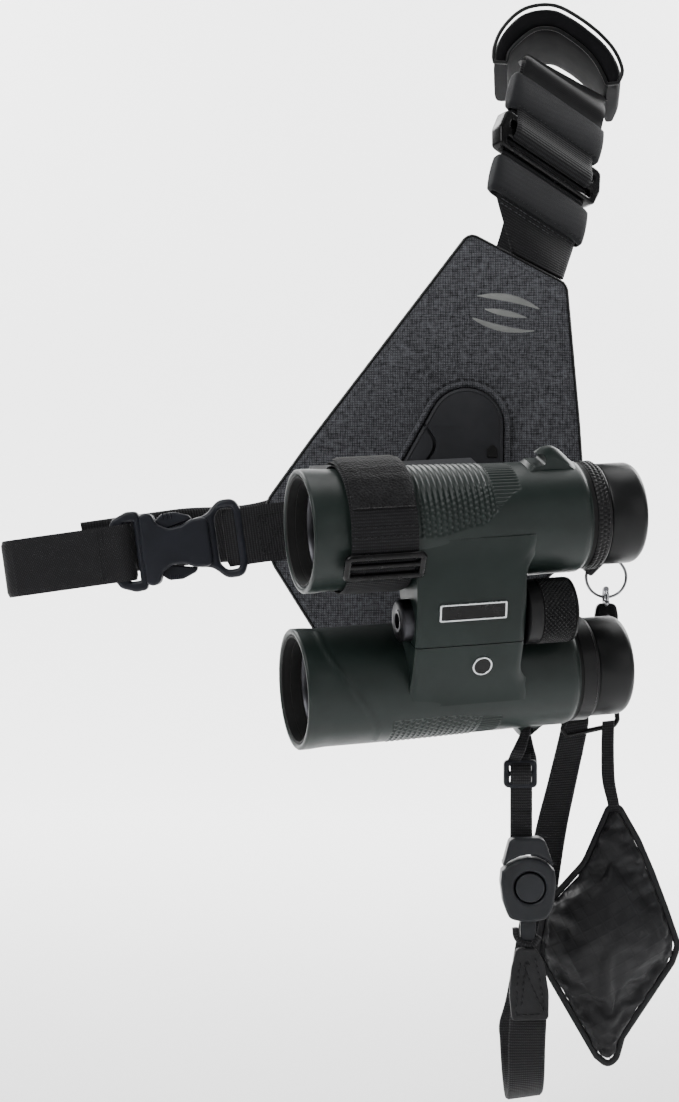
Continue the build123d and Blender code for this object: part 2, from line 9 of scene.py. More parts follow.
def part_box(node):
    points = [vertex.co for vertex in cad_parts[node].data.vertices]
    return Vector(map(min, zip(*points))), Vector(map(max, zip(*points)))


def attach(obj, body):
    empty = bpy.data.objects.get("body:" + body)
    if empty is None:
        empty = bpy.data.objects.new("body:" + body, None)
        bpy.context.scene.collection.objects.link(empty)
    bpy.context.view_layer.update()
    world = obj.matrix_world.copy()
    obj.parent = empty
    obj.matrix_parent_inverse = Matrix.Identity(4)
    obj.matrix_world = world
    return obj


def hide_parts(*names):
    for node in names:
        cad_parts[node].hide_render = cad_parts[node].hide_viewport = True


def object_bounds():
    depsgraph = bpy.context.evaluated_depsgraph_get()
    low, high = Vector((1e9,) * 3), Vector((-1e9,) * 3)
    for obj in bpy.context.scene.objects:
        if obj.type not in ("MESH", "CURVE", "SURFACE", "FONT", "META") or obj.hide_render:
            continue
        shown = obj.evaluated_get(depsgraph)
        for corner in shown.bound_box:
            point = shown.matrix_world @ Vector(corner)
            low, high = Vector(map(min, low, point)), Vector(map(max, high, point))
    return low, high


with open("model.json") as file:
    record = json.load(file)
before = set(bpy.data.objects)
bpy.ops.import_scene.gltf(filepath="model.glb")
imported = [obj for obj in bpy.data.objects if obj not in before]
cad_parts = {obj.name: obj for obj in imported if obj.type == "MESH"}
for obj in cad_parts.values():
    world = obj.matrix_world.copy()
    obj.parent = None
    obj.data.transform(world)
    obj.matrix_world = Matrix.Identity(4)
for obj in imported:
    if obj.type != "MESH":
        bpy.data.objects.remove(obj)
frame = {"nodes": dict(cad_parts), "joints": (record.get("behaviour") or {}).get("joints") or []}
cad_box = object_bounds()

MM = 0.001
JOINTS = {j["name"]: j for j in frame["joints"]}


# ---------------------------------------------------------------- places, from the frame
def at(joint):
    """A hinge's position in millimetres."""
    return Vector(JOINTS[joint]["pos_m"]) / MM


def middle(node):
    """The middle of a CAD node's box, in millimetres."""
    low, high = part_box(node)
    return (low + high) / 2 / MM


class Place:
    """A local frame: an origin and three axes, in millimetres of the row frame."""

    def __init__(self, origin, x, y, z):
        self.origin, self.x, self.y, self.z = Vector(origin), Vector(x), Vector(y), Vector(z)

    def __call__(self, x, y, z):
        return self.origin + self.x * x + self.y * y + self.z * z


WORLD = Place((0, 0, 0), (1, 0, 0), (0, 1, 0), (0, 0, 1))
FRONT = Place((0, 0, 0), (1, 0, 0), (0, 0, 1), (0, -1, 0))
EYE_STATION = 130.0
PRONG_STATION = 58.5
along = Vector(JOINTS["barrel_fold"]["axis"]).normalized()
across = (at("eyecup_turn_upper") - at("eyecup_turn_lower")).normalized()
half_spacing = (at("eyecup_turn_upper") - at("eyecup_turn_lower")).length / 2
mid_eyes = (at("eyecup_turn_upper") + at("eyecup_turn_lower")) / 2
BINO = Place(mid_eyes - along * EYE_STATION, along, across, along.cross(across))
HINGE_HEIGHT = (at("barrel_fold") - BINO.origin).dot(BINO.z)
strap_way = Vector(JOINTS["side_strap_release"]["axis"]).normalized()
prong_mid = (at("prong_squeeze_upper") + at("prong_squeeze_lower")) / 2
SIDE = Place(prong_mid - strap_way * PRONG_STATION, strap_way, Vector((0, -1, 0)).cross(strap_way),
             (0, -1, 0))
up_strap = Vector(JOINTS["slider_travel"]["axis"]).normalized()
SHOULDER_ACROSS = (0.765, 0.510, -0.394)
strap_across = (Vector(SHOULDER_ACROSS) - up_strap * Vector(SHOULDER_ACROSS).dot(up_strap)).normalized()
SHOULDER = Place(middle("shoulder_slider") - up_strap * 5.0, strap_across, up_strap,
                 strap_across.cross(up_strap))


# ---------------------------------------------------------------- materials
class Paint:
    """A short way to build a node material."""

    def __init__(self, name, colour, rough=0.5, **sockets):
        self.material = bpy.data.materials.new(name)
        self.material.use_nodes = True
        self.tree = self.material.node_tree
        self.shader = self.tree.nodes["Principled BSDF"]
        self.shader.inputs["Base Color"].default_value = (*colour, 1)
        self.shader.inputs["Roughness"].default_value = rough
        self.shader.inputs["Specular IOR Level"].default_value = 0.22
        for key, value in sockets.items():
            self.shader.inputs[key.replace("_", " ")].default_value = value
        self.normal = None

    def node(self, kind, inputs=(), **settings):
        made = self.tree.nodes.new("ShaderNode" + kind)
        for key, value in settings.items():
            setattr(made, key, value)
        for key, value in dict(inputs).items():
            self.feed(made.inputs[key], value)
        return made

    def feed(self, socket, value):
        if isinstance(value, bpy.types.NodeSocket):
            self.tree.links.new(value, socket)
        else:
            socket.default_value = value

    def coords(self, uv=False, scale=(1, 1, 1), turn=0.0):
        source = self.node("TexCoord").outputs["UV" if uv else "Object"]
        mapped = self.node("Mapping", {"Vector": source, "Scale": scale, "Rotation": (0, 0, turn)})
        return mapped.outputs["Vector"]

    def noise(self, vector, scale, detail=2.0):
        return self.node("TexNoise", {"Vector": vector, "Scale": scale, "Detail": detail}).outputs["Fac"]

    def wave(self, vector, scale, direction="X", distortion=0.0):
        made = self.node("TexWave", {"Vector": vector, "Scale": scale, "Distortion": distortion,
                                     "Detail": 1.0, "Detail Scale": 2.0}, bands_direction=direction)
        return made.outputs["Fac"]

    def math(self, operation, a, b=0.5):
        return self.node("Math", {0: a, 1: b}, operation=operation).outputs[0]

    def ramp(self, value, stops):
        made = self.node("ValToRGB", {"Fac": value})
        band = made.color_ramp
        for place, colour in stops[2:]:
            band.elements.new(place)
        for element, (place, colour) in zip(band.elements, sorted(stops)):
            element.position = place
            element.color = (*colour, 1)
        return made.outputs["Color"]

    def colour(self, value):
        self.feed(self.shader.inputs["Base Color"], value)
        return self

    def rough(self, value, low, high):
        made = self.node("MapRange", {"Value": value, "To Min": low, "To Max": high})
        self.feed(self.shader.inputs["Roughness"], made.outputs[0])
        return self

    def bump(self, height, strength=0.5, distance=0.0003):
        inputs = {"Height": height, "Strength": strength, "Distance": distance}
        if self.normal is not None:
            inputs["Normal"] = self.normal
        self.normal = self.node("Bump", inputs).outputs["Normal"]
        self.feed(self.shader.inputs["Normal"], self.normal)
        return self


def shade(colour, factor):
    return tuple(min(1.0, c * factor) for c in colour)


def moulded(name, colour, rough=0.45, grain=1400.0, strength=0.12, **sockets):
    """Moulded plastic or rubber: fine grain, faint mottling and slightly uneven gloss."""
    paint = Paint(name, colour, rough, **sockets)
    place = paint.coords()
    cloud = paint.noise(place, 60.0, 3.0)
    paint.colour(paint.ramp(cloud, [(0.3, shade(colour, 0.82)), (0.7, shade(colour, 1.2))]))
    fine = paint.noise(place, grain, 2.0)
    paint.rough(paint.noise(place, 180.0, 3.0), rough - 0.07, rough + 0.08)
    paint.bump(fine, strength, 0.00008)
    return paint.material


def webbing(name, colour, ribs=1.0, rows=2.2, contrast=1.7, slant=0.0, depth=0.00025):
    """Woven tape.  The UV map is in millimetres: u along the tape, v across it."""
    paint = Paint(name, colour, 0.75)
    paint.shader.inputs["Sheen Weight"].default_value = 0.04
    paint.shader.inputs["Sheen Roughness"].default_value = 0.5
    paint.shader.inputs["Specular IOR Level"].default_value = 0.2
    place = paint.coords(uv=True, turn=slant)
    rib = paint.wave(place, 0.314 / ribs, "X", 0.4)
    row = paint.wave(place, 0.314 * rows, "Y", 0.3)
    cross = paint.math("MULTIPLY", rib, paint.math("ADD", paint.math("MULTIPLY", row, 0.55), 0.45))
    fuzz = paint.noise(place, 3.0, 3.0)
    mixed = paint.math("ADD", paint.math("MULTIPLY", cross, 0.75), paint.math("MULTIPLY", fuzz, 0.25))
    paint.colour(paint.ramp(mixed, [(0.12, shade(colour, 0.45)), (0.75, shade(colour, contrast))]))
    paint.bump(cross, 0.9, depth)
    return paint.material


def metal(name, colour, rough=0.28):
    paint = Paint(name, colour, rough, Metallic=1.0)
    place = paint.coords()
    paint.rough(paint.noise(place, 300.0, 4.0), rough - 0.08, rough + 0.12)
    paint.bump(paint.noise(place, 900.0, 2.0), 0.08, 0.00005)
    return paint.material


def heathered(name):
    """Charcoal basket weave with light and dark slubs."""
    dark, light = (0.0095, 0.010, 0.0120), (0.090, 0.092, 0.103)
    paint = Paint(name, light, 0.85)
    paint.shader.inputs["Sheen Weight"].default_value = 0.06
    place = paint.coords()
    upright = paint.noise(paint.coords(scale=(1.0, 1.0, 0.22)), 1500.0, 2.0)
    level = paint.noise(paint.coords(scale=(0.22, 1.0, 1.0)), 1500.0, 2.0)
    cloud = paint.noise(place, 22.0, 3.0)
    warp = paint.wave(place, 300.0, "X", 1.2)
    weft = paint.wave(place, 300.0, "Z", 1.2)
    weave = paint.math("MULTIPLY", warp, weft)
    slub = paint.math("MULTIPLY", paint.math("ADD", upright, level), 0.5)
    tone = paint.math("ADD", paint.math("MULTIPLY", slub, 0.75), paint.math("MULTIPLY", weave, 0.2))
    tone = paint.math("ADD", tone, paint.math("MULTIPLY", cloud, 0.12))
    paint.colour(paint.ramp(tone, [(0.34, dark), (0.47, shade(light, 0.45)), (0.62, light)]))
    paint.bump(weave, 0.6, 0.0002)
    paint.bump(slub, 0.7, 0.0003)
    return paint.material


def coated_glass(name):
    paint = Paint(name, (0.006, 0.008, 0.010), 0.04)
    paint.shader.inputs["Coat Weight"].default_value = 0.6
    paint.shader.inputs["Coat Tint"].default_value = (0.75, 0.9, 0.8, 1)
    place = paint.coords()
    cloud = paint.noise(place, 25.0, 2.0)
    paint.colour(paint.ramp(cloud, [(0.35, (0.004, 0.008, 0.012)), (0.7, (0.012, 0.022, 0.020))]))
    return paint.material


GREEN = (0.0070, 0.0122, 0.0106)
M = {
    "armour": moulded("armour_rubber", GREEN, 0.42, 1800.0, 0.16, Specular_IOR_Level=0.30),
    "bridge": moulded("bridge_paint", shade(GREEN, 1.05), 0.38, 1600.0, 0.12),
    "black_rubber": moulded("black_rubber", (0.0065, 0.0068, 0.0072), 0.36, 1500.0, 0.1),
    "knurl_rubber": moulded("knurl_rubber", (0.0055, 0.0055, 0.006), 0.36, 1500.0, 0.1),
    "inner_black": moulded("tube_paint", (0.004, 0.004, 0.004), 0.7, 900.0, 0.1),
    "glass": coated_glass("coated_glass"),
    "plate": moulded("plate_enamel", (0.0025, 0.0025, 0.0028), 0.25, 900.0, 0.05),
    "silver_edge": metal("bright_edge", (0.62, 0.64, 0.65), 0.25),
    "steel": metal("steel", (0.50, 0.50, 0.52), 0.22),
    "dark_steel": metal("dark_steel", (0.20, 0.20, 0.21), 0.24),
    "anodised": metal("black_anodised", (0.05, 0.05, 0.055), 0.35),
    "plastic": moulded("moulded_nylon", (0.019, 0.0195, 0.0225), 0.5, 1300.0, 0.16),
    "buckle": moulded("buckle_acetal", (0.010, 0.011, 0.0155), 0.40, 1400.0, 0.12),
    "release": moulded("release_acetal", (0.014, 0.015, 0.0175), 0.44, 1300.0, 0.15),
    "webbing": webbing("black_webbing", (0.0065, 0.0065, 0.0075), 1.3, 1.1, 1.9),
    "narrow": webbing("narrow_webbing", (0.0085, 0.0085, 0.0095), 1.15, 1.1, 1.9),
    "elastic": webbing("twill_elastic", (0.008, 0.008, 0.009), 0.8, 0.9, 1.8, slant=0.6, depth=0.00015),
    "smooth_strap": webbing("smooth_strap", (0.006, 0.006, 0.007), 0.55, 1.4, 1.4, slant=1.2, depth=0.00008),
    "keeper": webbing("keeper_elastic", (0.012, 0.0125, 0.0145), 0.6, 2.4, 1.6, slant=1.5708, depth=0.00015),
    "heather": heathered("heathered_fabric"),
}


# ---------------------------------------------------------------- mesh building
def finish_piece(obj, body, replaces=()):
    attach(obj, body)
    if replaces:
        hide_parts(*replaces)
    return obj


def piece(name, points, faces, material, body, slot=None, replaces=(), uvs=None, smooth=True, place=WORLD,
          sharp=40.0):
    """A mesh from local points in millimetres, riding on a body."""
    mesh = bpy.data.meshes.new(name)
    mesh.from_pydata([place(*p) * MM for p in points], [], faces)
    if uvs:
        layer = mesh.uv_layers.new(name="UVMap")
        for loop in mesh.loops:
            layer.data[loop.index].uv = uvs[loop.vertex_index]
    mesh.materials.append(M[material] if isinstance(material, str) else material)
    obj = bpy.data.objects.new(name, mesh)
    bpy.context.scene.collection.objects.link(obj)
    tidy = bmesh.new()
    tidy.from_mesh(mesh)
    bmesh.ops.recalc_face_normals(tidy, faces=tidy.faces)
    tidy.to_mesh(mesh)
    tidy.free()
    if smooth:
        mesh.shade_smooth()
        mesh.set_sharp_from_angle(angle=math.radians(sharp))
    return finish_piece(obj, body, replaces)


def grid_faces(rows, columns, wrap_rows=False, wrap_columns=True):
    faces = []
    for i in range(rows if wrap_rows else rows - 1):
        for j in range(columns if wrap_columns else columns - 1):
            a, b = i * columns + j, i * columns + (j + 1) % columns
            c, d = ((i + 1) % rows) * columns + (j + 1) % columns, ((i + 1) % rows) * columns + j
            faces.append((a, b, c, d))
    return faces


def lathe(name, profile, centre, material, body, steps=96, closed=True, relief=None, **more):
    """Turn (along, radius) points round an axis of the binocular.  relief(a, angle) adds to the radius."""
    y0, z0 = centre
    points = []
    for a, radius in profile:
        for j in range(steps):
            angle = 2 * math.pi * j / steps
            r = radius + (relief(a, angle) if relief else 0.0)
            points.append((a, y0 + r * math.sin(angle), z0 + r * math.cos(angle)))
    faces = grid_faces(len(profile), steps, wrap_rows=closed)
    return piece(name, points, faces, material, body, place=BINO, **more)


def between(low, high, step):
    count = max(1, round((high - low) / step))
    return [low + (high - low) * i / count for i in range(count + 1)]


def smoothstep(low, high, value):
    t = min(1.0, max(0.0, (value - low) / (high - low)))
    return t * t * (3 - 2 * t)


def loft_rings(name, rings, material, body, caps=True, **more):
    """Join rings of equally many points into a closed skin."""
    count = len(rings[0])
    points = [p for ring in rings for p in ring]
    faces = grid_faces(len(rings), count)
    if caps:
        faces.append(tuple(reversed(range(count))))
        faces.append(tuple(range((len(rings) - 1) * count, len(rings) * count)))
    return piece(name, points, faces, material, body, **more)


def arc_points(corners, steps=6):
    """A closed outline from (x, y, radius) corners, each corner rounded."""
    out = []
    count = len(corners)
    for i, (x, y, r) in enumerate(corners):
        here = Vector((x, y))
        before = (Vector(corners[i - 1][:2]) - here)
        after = (Vector(corners[(i + 1) % count][:2]) - here)
        turn = before.angle(after)
        reach = min(r / math.tan(turn / 2), before.length * 0.49, after.length * 0.49)
        start, end = here + before.normalized() * reach, here + after.normalized() * reach
        for k in range(steps + 1):
            t = k / steps
            out.append(start.lerp(here, t).lerp(here.lerp(end, t), t))
    return out


def rectangle(x0, y0, x1, y1, radius):
    """A closed outline round two opposite corners, with its four corners rounded."""
    return arc_points([(x0, y0, radius), (x1, y0, radius), (x1, y1, radius), (x0, y1, radius)])


def mirrored(half, tip=()):
    """The corners on one side of a centre line, any tip on it, and the same corners on the other side."""
    return half + list(tip) + [(x, -y, r) for x, y, r in reversed(half)]


def solid(name, outline, low, high, bevel, material, body, holes=(), place=FRONT, segments=3, **more):
    """An outline made solid between two depths, with rounded edges.  Holes are outlines too."""
    curve = bpy.data.curves.new(name + "_outline", "CURVE")
    curve.dimensions = "2D"
    curve.fill_mode = "BOTH"
    for ring in (outline, *holes):
        spline = curve.splines.new("POLY")
        spline.points.add(len(ring) - 1)
        for point, (x, y) in zip(spline.points, ring):
            point.co = (x, y, 0, 1)
        spline.use_cyclic_u = True
    curve.extrude = max(0.01, (high - low) / 2 - bevel)
    curve.bevel_depth = bevel
    curve.bevel_resolution = segments
    curve.offset = -bevel
    holder = bpy.data.objects.new(name + "_curve", curve)
    bpy.context.scene.collection.objects.link(holder)
    flat = bpy.data.meshes.new_from_object(holder.evaluated_get(bpy.context.evaluated_depsgraph_get()))
    bpy.data.objects.remove(holder)
    centre = (low + high) / 2
    points = [(v.co.x, v.co.y, v.co.z + centre) for v in flat.vertices]
    faces = [tuple(p.vertices) for p in flat.polygons]
    return piece(name, points, faces, material, body, place=place, sharp=50.0, **more)


def tube(name, path, radius, material, body, closed=False, sides=10, place=WORLD, **more):
    """A round bar along a list of points."""
    path = [place(*p) for p in path]
    count = len(path)
    rings = []
    side = None
    for i, point in enumerate(path):
        ahead = path[(i + 1) % count] if closed or i < count - 1 else point
        behind = path[i - 1] if closed or i > 0 else point
        way = (ahead - behind).normalized()
        if side is None:
            side = way.orthogonal().normalized()
        side = (side - way * side.dot(way)).normalized()
        other = way.cross(side)
        r = radius(i / max(1, count - 1)) if callable(radius) else radius
        rings.append([point + (side * math.cos(t) + other * math.sin(t)) * r
                      for t in [2 * math.pi * k / sides for k in range(sides)]])
    points = [tuple(p) for ring in rings for p in ring]
    faces = grid_faces(count, sides, wrap_rows=closed)
    if not closed:
        faces += [tuple(reversed(range(sides))), tuple(range((count - 1) * sides, count * sides))]
    return piece(name, points, faces, material, body, **more)


def curve_through(points, steps=8, closed=False):
    """Points along a smooth Catmull-Rom line."""
    points = [Vector(p) for p in points]
    count = len(points)
    out = []
    for i in range(count if closed else count - 1):
        p0 = points[i - 1] if closed or i > 0 else points[0] * 2 - points[1]
        p1, p2 = points[i], points[(i + 1) % count]
        p3 = points[(i + 2) % count] if closed or i + 2 < count else p2 * 2 - p1
        for k in range(steps):
            t = k / steps
            out.append(0.5 * ((2 * p1) + (p2 - p0) * t + (2 * p0 - 5 * p1 + 4 * p2 - p3) * t * t
                              + (3 * p1 - p0 - 3 * p2 + p3) * t ** 3))
    if not closed:
        out.append(points[-1])
    return out


def strap(name, stations, thick, material, body, steps=8, place=WORLD, edge=0.45, columns=12, ripple=0.0,
          **more):
    """A tape through pairs of edge points, with rounded selvedges and a UV map in millimetres."""
    lefts = curve_through([place(*s[0]) for s in stations], steps)
    rights = curve_through([place(*s[1]) for s in stations], steps)
    count = len(lefts)
    points, uvs = [], []
    run = 0.0
    last = None
    for i, (left, right) in enumerate(zip(lefts, rights)):
        centre = (left + right) / 2
        run += (centre - last).length if last is not None else 0.0
        last = centre
        a, b = max(0, i - 1), min(count - 1, i + 1)
        way = (lefts[b] + rights[b] - lefts[a] - rights[a]).normalized()
        wide = (right - left)
        normal = wide.cross(way).normalized()
        width = wide.length
        ring = []
        for side in (1, -1):
            for k in range(columns + 1):
                t = k / columns if side > 0 else 1 - k / columns
                close = min(t, 1 - t) * width
                lift = thick / 2 * min(1.0, math.sqrt(max(0.02, close / edge)) if close < edge else 1.0)
                wave = ripple * math.sin(run * 0.9 + t * 3.0) * math.sin(math.pi * t)
                ring.append((left.lerp(right, t) + normal * (side * lift + wave), t * width))
        points += [tuple(p) for p, v in ring]
        uvs += [(run, v) for p, v in ring]
    size = 2 * (columns + 1)
    faces = grid_faces(count, size)
    faces += [tuple(reversed(range(size))), tuple(range((count - 1) * size, count * size))]
    return piece(name, points, faces, material, body, uvs=uvs, sharp=60.0, **more)


# ---------------------------------------------------------------- camera, light and floor
CAMERA_DISTANCE = 1.0
CAMERA_AIM = (-0.04442, -0.01370)
LENS = 73.9


def make_studio():
    camera = bpy.data.objects.new("camera", bpy.data.cameras.new("camera"))
    camera.location = (CAMERA_AIM[0], -CAMERA_DISTANCE, CAMERA_AIM[1])
    camera.rotation_euler = (math.pi / 2, 0, 0)
    camera.data.lens = LENS
    camera.data.sensor_width = 36.0
    camera.data.clip_start = 0.01
    bpy.context.scene.collection.objects.link(camera)
    bpy.context.scene.camera = camera
    world = bpy.data.worlds.new("studio")
    world.use_nodes = True
    world.node_tree.nodes["Background"].inputs["Color"].default_value = (1.0, 1.0, 1.0, 1)
    world.node_tree.nodes["Background"].inputs["Strength"].default_value = 0.22
    bpy.context.scene.world = world
    middle_of_pack = (0.0, -0.03, 0.0)
    lamps = (("key", (-0.75, -1.0, 0.95), middle_of_pack, 0.8, 17.0),
             ("fill", (1.0, -0.9, 0.25), middle_of_pack, 0.9, 3.5),
             ("top", (0.1, 0.1, 1.3), middle_of_pack, 0.8, 8.0),
             ("rim", (0.9, 0.7, 0.5), middle_of_pack, 0.6, 5.0),
             ("backdrop_left", (-0.9, 0.95, 1.0), (-0.3, 1.6, -0.1), 0.9, 46.0),
             ("backdrop_right", (0.9, 0.95, 1.0), (0.3, 1.6, -0.1), 0.9, 46.0))
    for name, spot, goal, size, power in lamps:
        lamp = bpy.data.objects.new(name, bpy.data.lights.new(name, "AREA"))
        lamp.data.energy = power
        lamp.data.size = size
        lamp.location = spot
        aim = Vector(goal) - Vector(spot)
        lamp.rotation_euler = aim.to_track_quat("-Z", "Y").to_euler()
        bpy.context.scene.collection.objects.link(lamp)
    low = cad_box[0][2] - 0.02
    rows, sweep, depth, wide = [], 0.5, 1.2, 3.0
    for k in range(17):
        angle = math.pi / 2 * k / 16
        rows.append((depth + sweep * math.sin(angle), low + sweep * (1 - math.cos(angle))))
    line = [(-2.5, low)] + rows + [(depth + sweep, low + 3.0)]
    mesh = bpy.data.meshes.new("floor")
    points = [(x, y, z) for y, z in line for x in (-wide, wide)]
    mesh.from_pydata(points, [], [(2 * i, 2 * i + 1, 2 * i + 3, 2 * i + 2) for i in range(len(line) - 1)])
    mesh.shade_smooth()
    paint = Paint("pale_floor", (0.97, 0.97, 0.97), 0.9)
    paint.colour(paint.ramp(paint.noise(paint.coords(), 3.0),
                            [(0.3, (0.965, 0.965, 0.965)), (0.7, (0.975, 0.975, 0.975))]))
    mesh.materials.append(paint.material)
    floor = bpy.data.objects.new("floor", mesh)
    bpy.context.scene.collection.objects.link(floor)


make_studio()


# ---------------------------------------------------------------- the binocular
UPPER, LOWER = (half_spacing, 0.0), (-half_spacing, 0.0)
HINGE = (0.0, HINGE_HEIGHT)
BARREL_END = 117.5


def body_radius(a):
    """The armour's radius along a barrel: flared rim, waist and a slow taper."""
    rim = 24.9 - 0.5 * smoothstep(3, 12, a)
    taper = 24.4 - 1.2 * smoothstep(26, 110, a)
    return rim if a < 12 else taper


RIB_PITCH = 2.35


def armour_relief(word):
    """Grip ribs, studs and moulded lines on the rubber."""
    upper = word == "upper"

    def relief(a, angle):
        theta = math.degrees(angle)
        turn = theta if theta < 200 else theta - 360
        if not upper:
            turn = -turn + 2
        out = 0.0
        if upper:
            low = 7 + 8 * smoothstep(50, 68, a) + 34 * smoothstep(68, 88, a)
            start, end, switch = 40.0, 88.0, 75.0
        else:
            low = 18 + 6 * smoothstep(60, 80, a)
            start, end, switch = 36.0, 84.0, 74.0
        inside = smoothstep(low, low + 3, turn) * (1 - smoothstep(176, 180, turn))
        inside *= smoothstep(start, start + 1, a) * (1 - smoothstep(end - 1, end, a))
        if inside > 0:
            if a < switch:
                rib = 0.5 + 0.5 * math.cos(2 * math.pi * a / RIB_PITCH)
                stud = 0.5 + 0.5 * math.cos(2 * math.pi * turn / 5.9 + math.pi * round(a / RIB_PITCH))
                studded = 1 - smoothstep(low + 26, low + 50, turn)
                out += inside * (0.75 * rib * (1 - studded * 0.75 * (1 - stud)) - 0.55)
            elif a > switch + 1.0:
                rib = 0.5 + 0.5 * math.cos(2 * math.pi * turn / 4.2)
                out += inside * (0.5 * rib - 0.55)
            else:
                out -= 0.55 * inside
        if upper:
            line = a - (38 - 0.30 * (turn + 10)) if -75 < turn < 20 else 99
            faded = smoothstep(-75, -60, turn) * (1 - smoothstep(5, 18, turn))
            out -= 0.35 * math.exp(-(line / 0.9) ** 2) * faded
        else:
            line = a - (9 + 22 * smoothstep(-70, 45, turn)) if -90 < turn < 50 else 99
            out += 0.6 * math.exp(-(line / 0.9) ** 2)
        return out

    return relief


def make_armour(word, centre):
    stops = between(0, 3, 0.6) + between(3.6, 34, 1.1) + between(34.3, 90, 0.26)
    stops += between(91, BARREL_END - 4, 1.4)
    outer = [(a, body_radius(a)) for a in stops]
    rim = [(0.9, 22.2), (0.1, 22.9), (-0.1, 23.6), (0.0, 24.4)]
    back = [(BARREL_END - 2.2, body_radius(BARREL_END) - 0.1),
            (BARREL_END - 0.8, body_radius(BARREL_END)
             - 0.7), (BARREL_END - 0.1, body_radius(BARREL_END) - 1.8), (BARREL_END, 22.1)]
    profile = rim + outer[1:] + back
    lathe("armour_skin_" + word, profile, centre, "armour", word + "_barrel", steps=420, closed=True,
          relief=armour_relief(word), slot="armour", replaces=["armour_" + word], sharp=60.0)
    lathe("objective_bezel_" + word, [(0.3, 22.3), (0.6, 21.4), (4, 20.9), (4, 20.3), (5, 20.1),
                                      (9.4, 20.1), (9.4, 22.3)],
          centre, "inner_black", word + "_barrel", slot="armour")
    lathe("lens_retainer_" + word, [(8.4, 20.6), (8.4, 18.9), (9.2, 18.3), (11.3, 18.3), (11.3, 20.6)],
          centre, "anodised", word + "_barrel", slot="aluminium")
    dome = [(14.5 - 3.4 * math.cos(math.asin(r / 20.6)), r) for r in between(0.0, 20.6, 1.03)]
    lathe("objective_glass_" + word, [(14.5, 0.001)] + [(a, max(r, 0.001)) for a, r in dome] + [(14.5, 20.6)],
          centre, "glass", word + "_barrel", slot="glass", replaces=["lenses_" + word])


def make_eyepiece(word, centre, body, cup_body, sleeve_body):
    """The ring, the twist-up eyecup and the eye lens at one barrel's rear."""
    start, end = BARREL_END + 0.9, 126.0

    def studs(a, angle):
        if not (start + 1.4 < a < end - 1.6):
            return 0.0
        row = (a - start - 1.4) / 1.75
        cell = math.degrees(angle) / 5.0 + 0.5 * (int(row) % 2)
        along_row = max(0.0, math.sin(math.pi * (row % 1.0))) ** 0.8
        round_cell = max(0.0, math.sin(math.pi * (cell % 1.0))) ** 0.8
        return 0.5 * along_row * round_cell

    stops = between(start + 0.4, end - 0.4, 0.22)
    profile = [(start, 21.2)] + [(a, 22.0 - (0.5 if a < start + 1.2 or a > end - 1.4 else 0))
                                 for a in stops] + [(end, 21.2)]
    if word == "upper":
        lathe("dioptre_knurl", profile + [(end, 17.2), (start, 17.2)], centre, "knurl_rubber", body,
              steps=432, relief=studs, slot="wheel_rubber", replaces=["dioptre_ring"])
    else:
        band = [(start, 21.4), (start + 0.4, 22.2), (end - 1.2, 22.2), (end - 0.9, 21.7), (end, 21.6),
                (end, 17.2), (start, 17.2)]
        lathe("eyepiece_band", band, centre, "knurl_rubber", body, slot="wheel_rubber")
    cup = [(126.6, 18.8), (126.6, 20.4), (127.2, 20.9), (139.2, 20.9)]
    cup += [(139.2 + 3.6 * math.sin(t), 17.6 + 3.3 * math.cos(t))
            for t in [math.pi / 2 * k / 8 for k in range(1, 9)]]
    cup += [(143.3, 17.0), (142.9, 16.0), (141.5, 15.4), (138.8, 15.3), (138.8, 18.8)]
    lathe("eyecup_rubber_" + word, cup, centre, "black_rubber", cup_body, slot="wheel_rubber",
          replaces=["eyecup_" + word], steps=128)
    lathe("eyecup_tube_" + word, [(126.6, 17.1), (126.6, 18.6), (138, 18.6), (138, 17.1)], centre,
          "anodised", sleeve_body, slot="sleeve", replaces=["eyecup_sleeve_" + word])
    well = [(BARREL_END, 22.0), (BARREL_END, 21.2), (BARREL_END + 0.8, 21.2), (BARREL_END + 0.8, 17.0),
            (132, 17.0), (132, 16.2), (129, 14.5), (125.5, 12.6), (123.5, 12.2), (119, 12.2), (119, 22.0)]
    lathe("eyepiece_well_" + word, well, centre, "inner_black", word + "_barrel", slot="aluminium",
          replaces=["tube_" + word])
    dome = [(122.0 + 1.6 * math.cos(math.pi / 2 * r / 12.3), max(r, 0.001)) for r in between(0, 12.3, 1.2)]
    lathe("eye_glass_" + word, dome + [(120, 12.3), (120, 0.001)], centre, "glass", word + "_barrel",
          slot="glass")


def bridge_top(b):
    """Height of the bridge's front surface at a distance from the hinge towards a barrel."""
    near = abs(b)
    return 28.6 - 0.45 * smoothstep(0, 12, near) - 3.9 * smoothstep(6, 37, near)


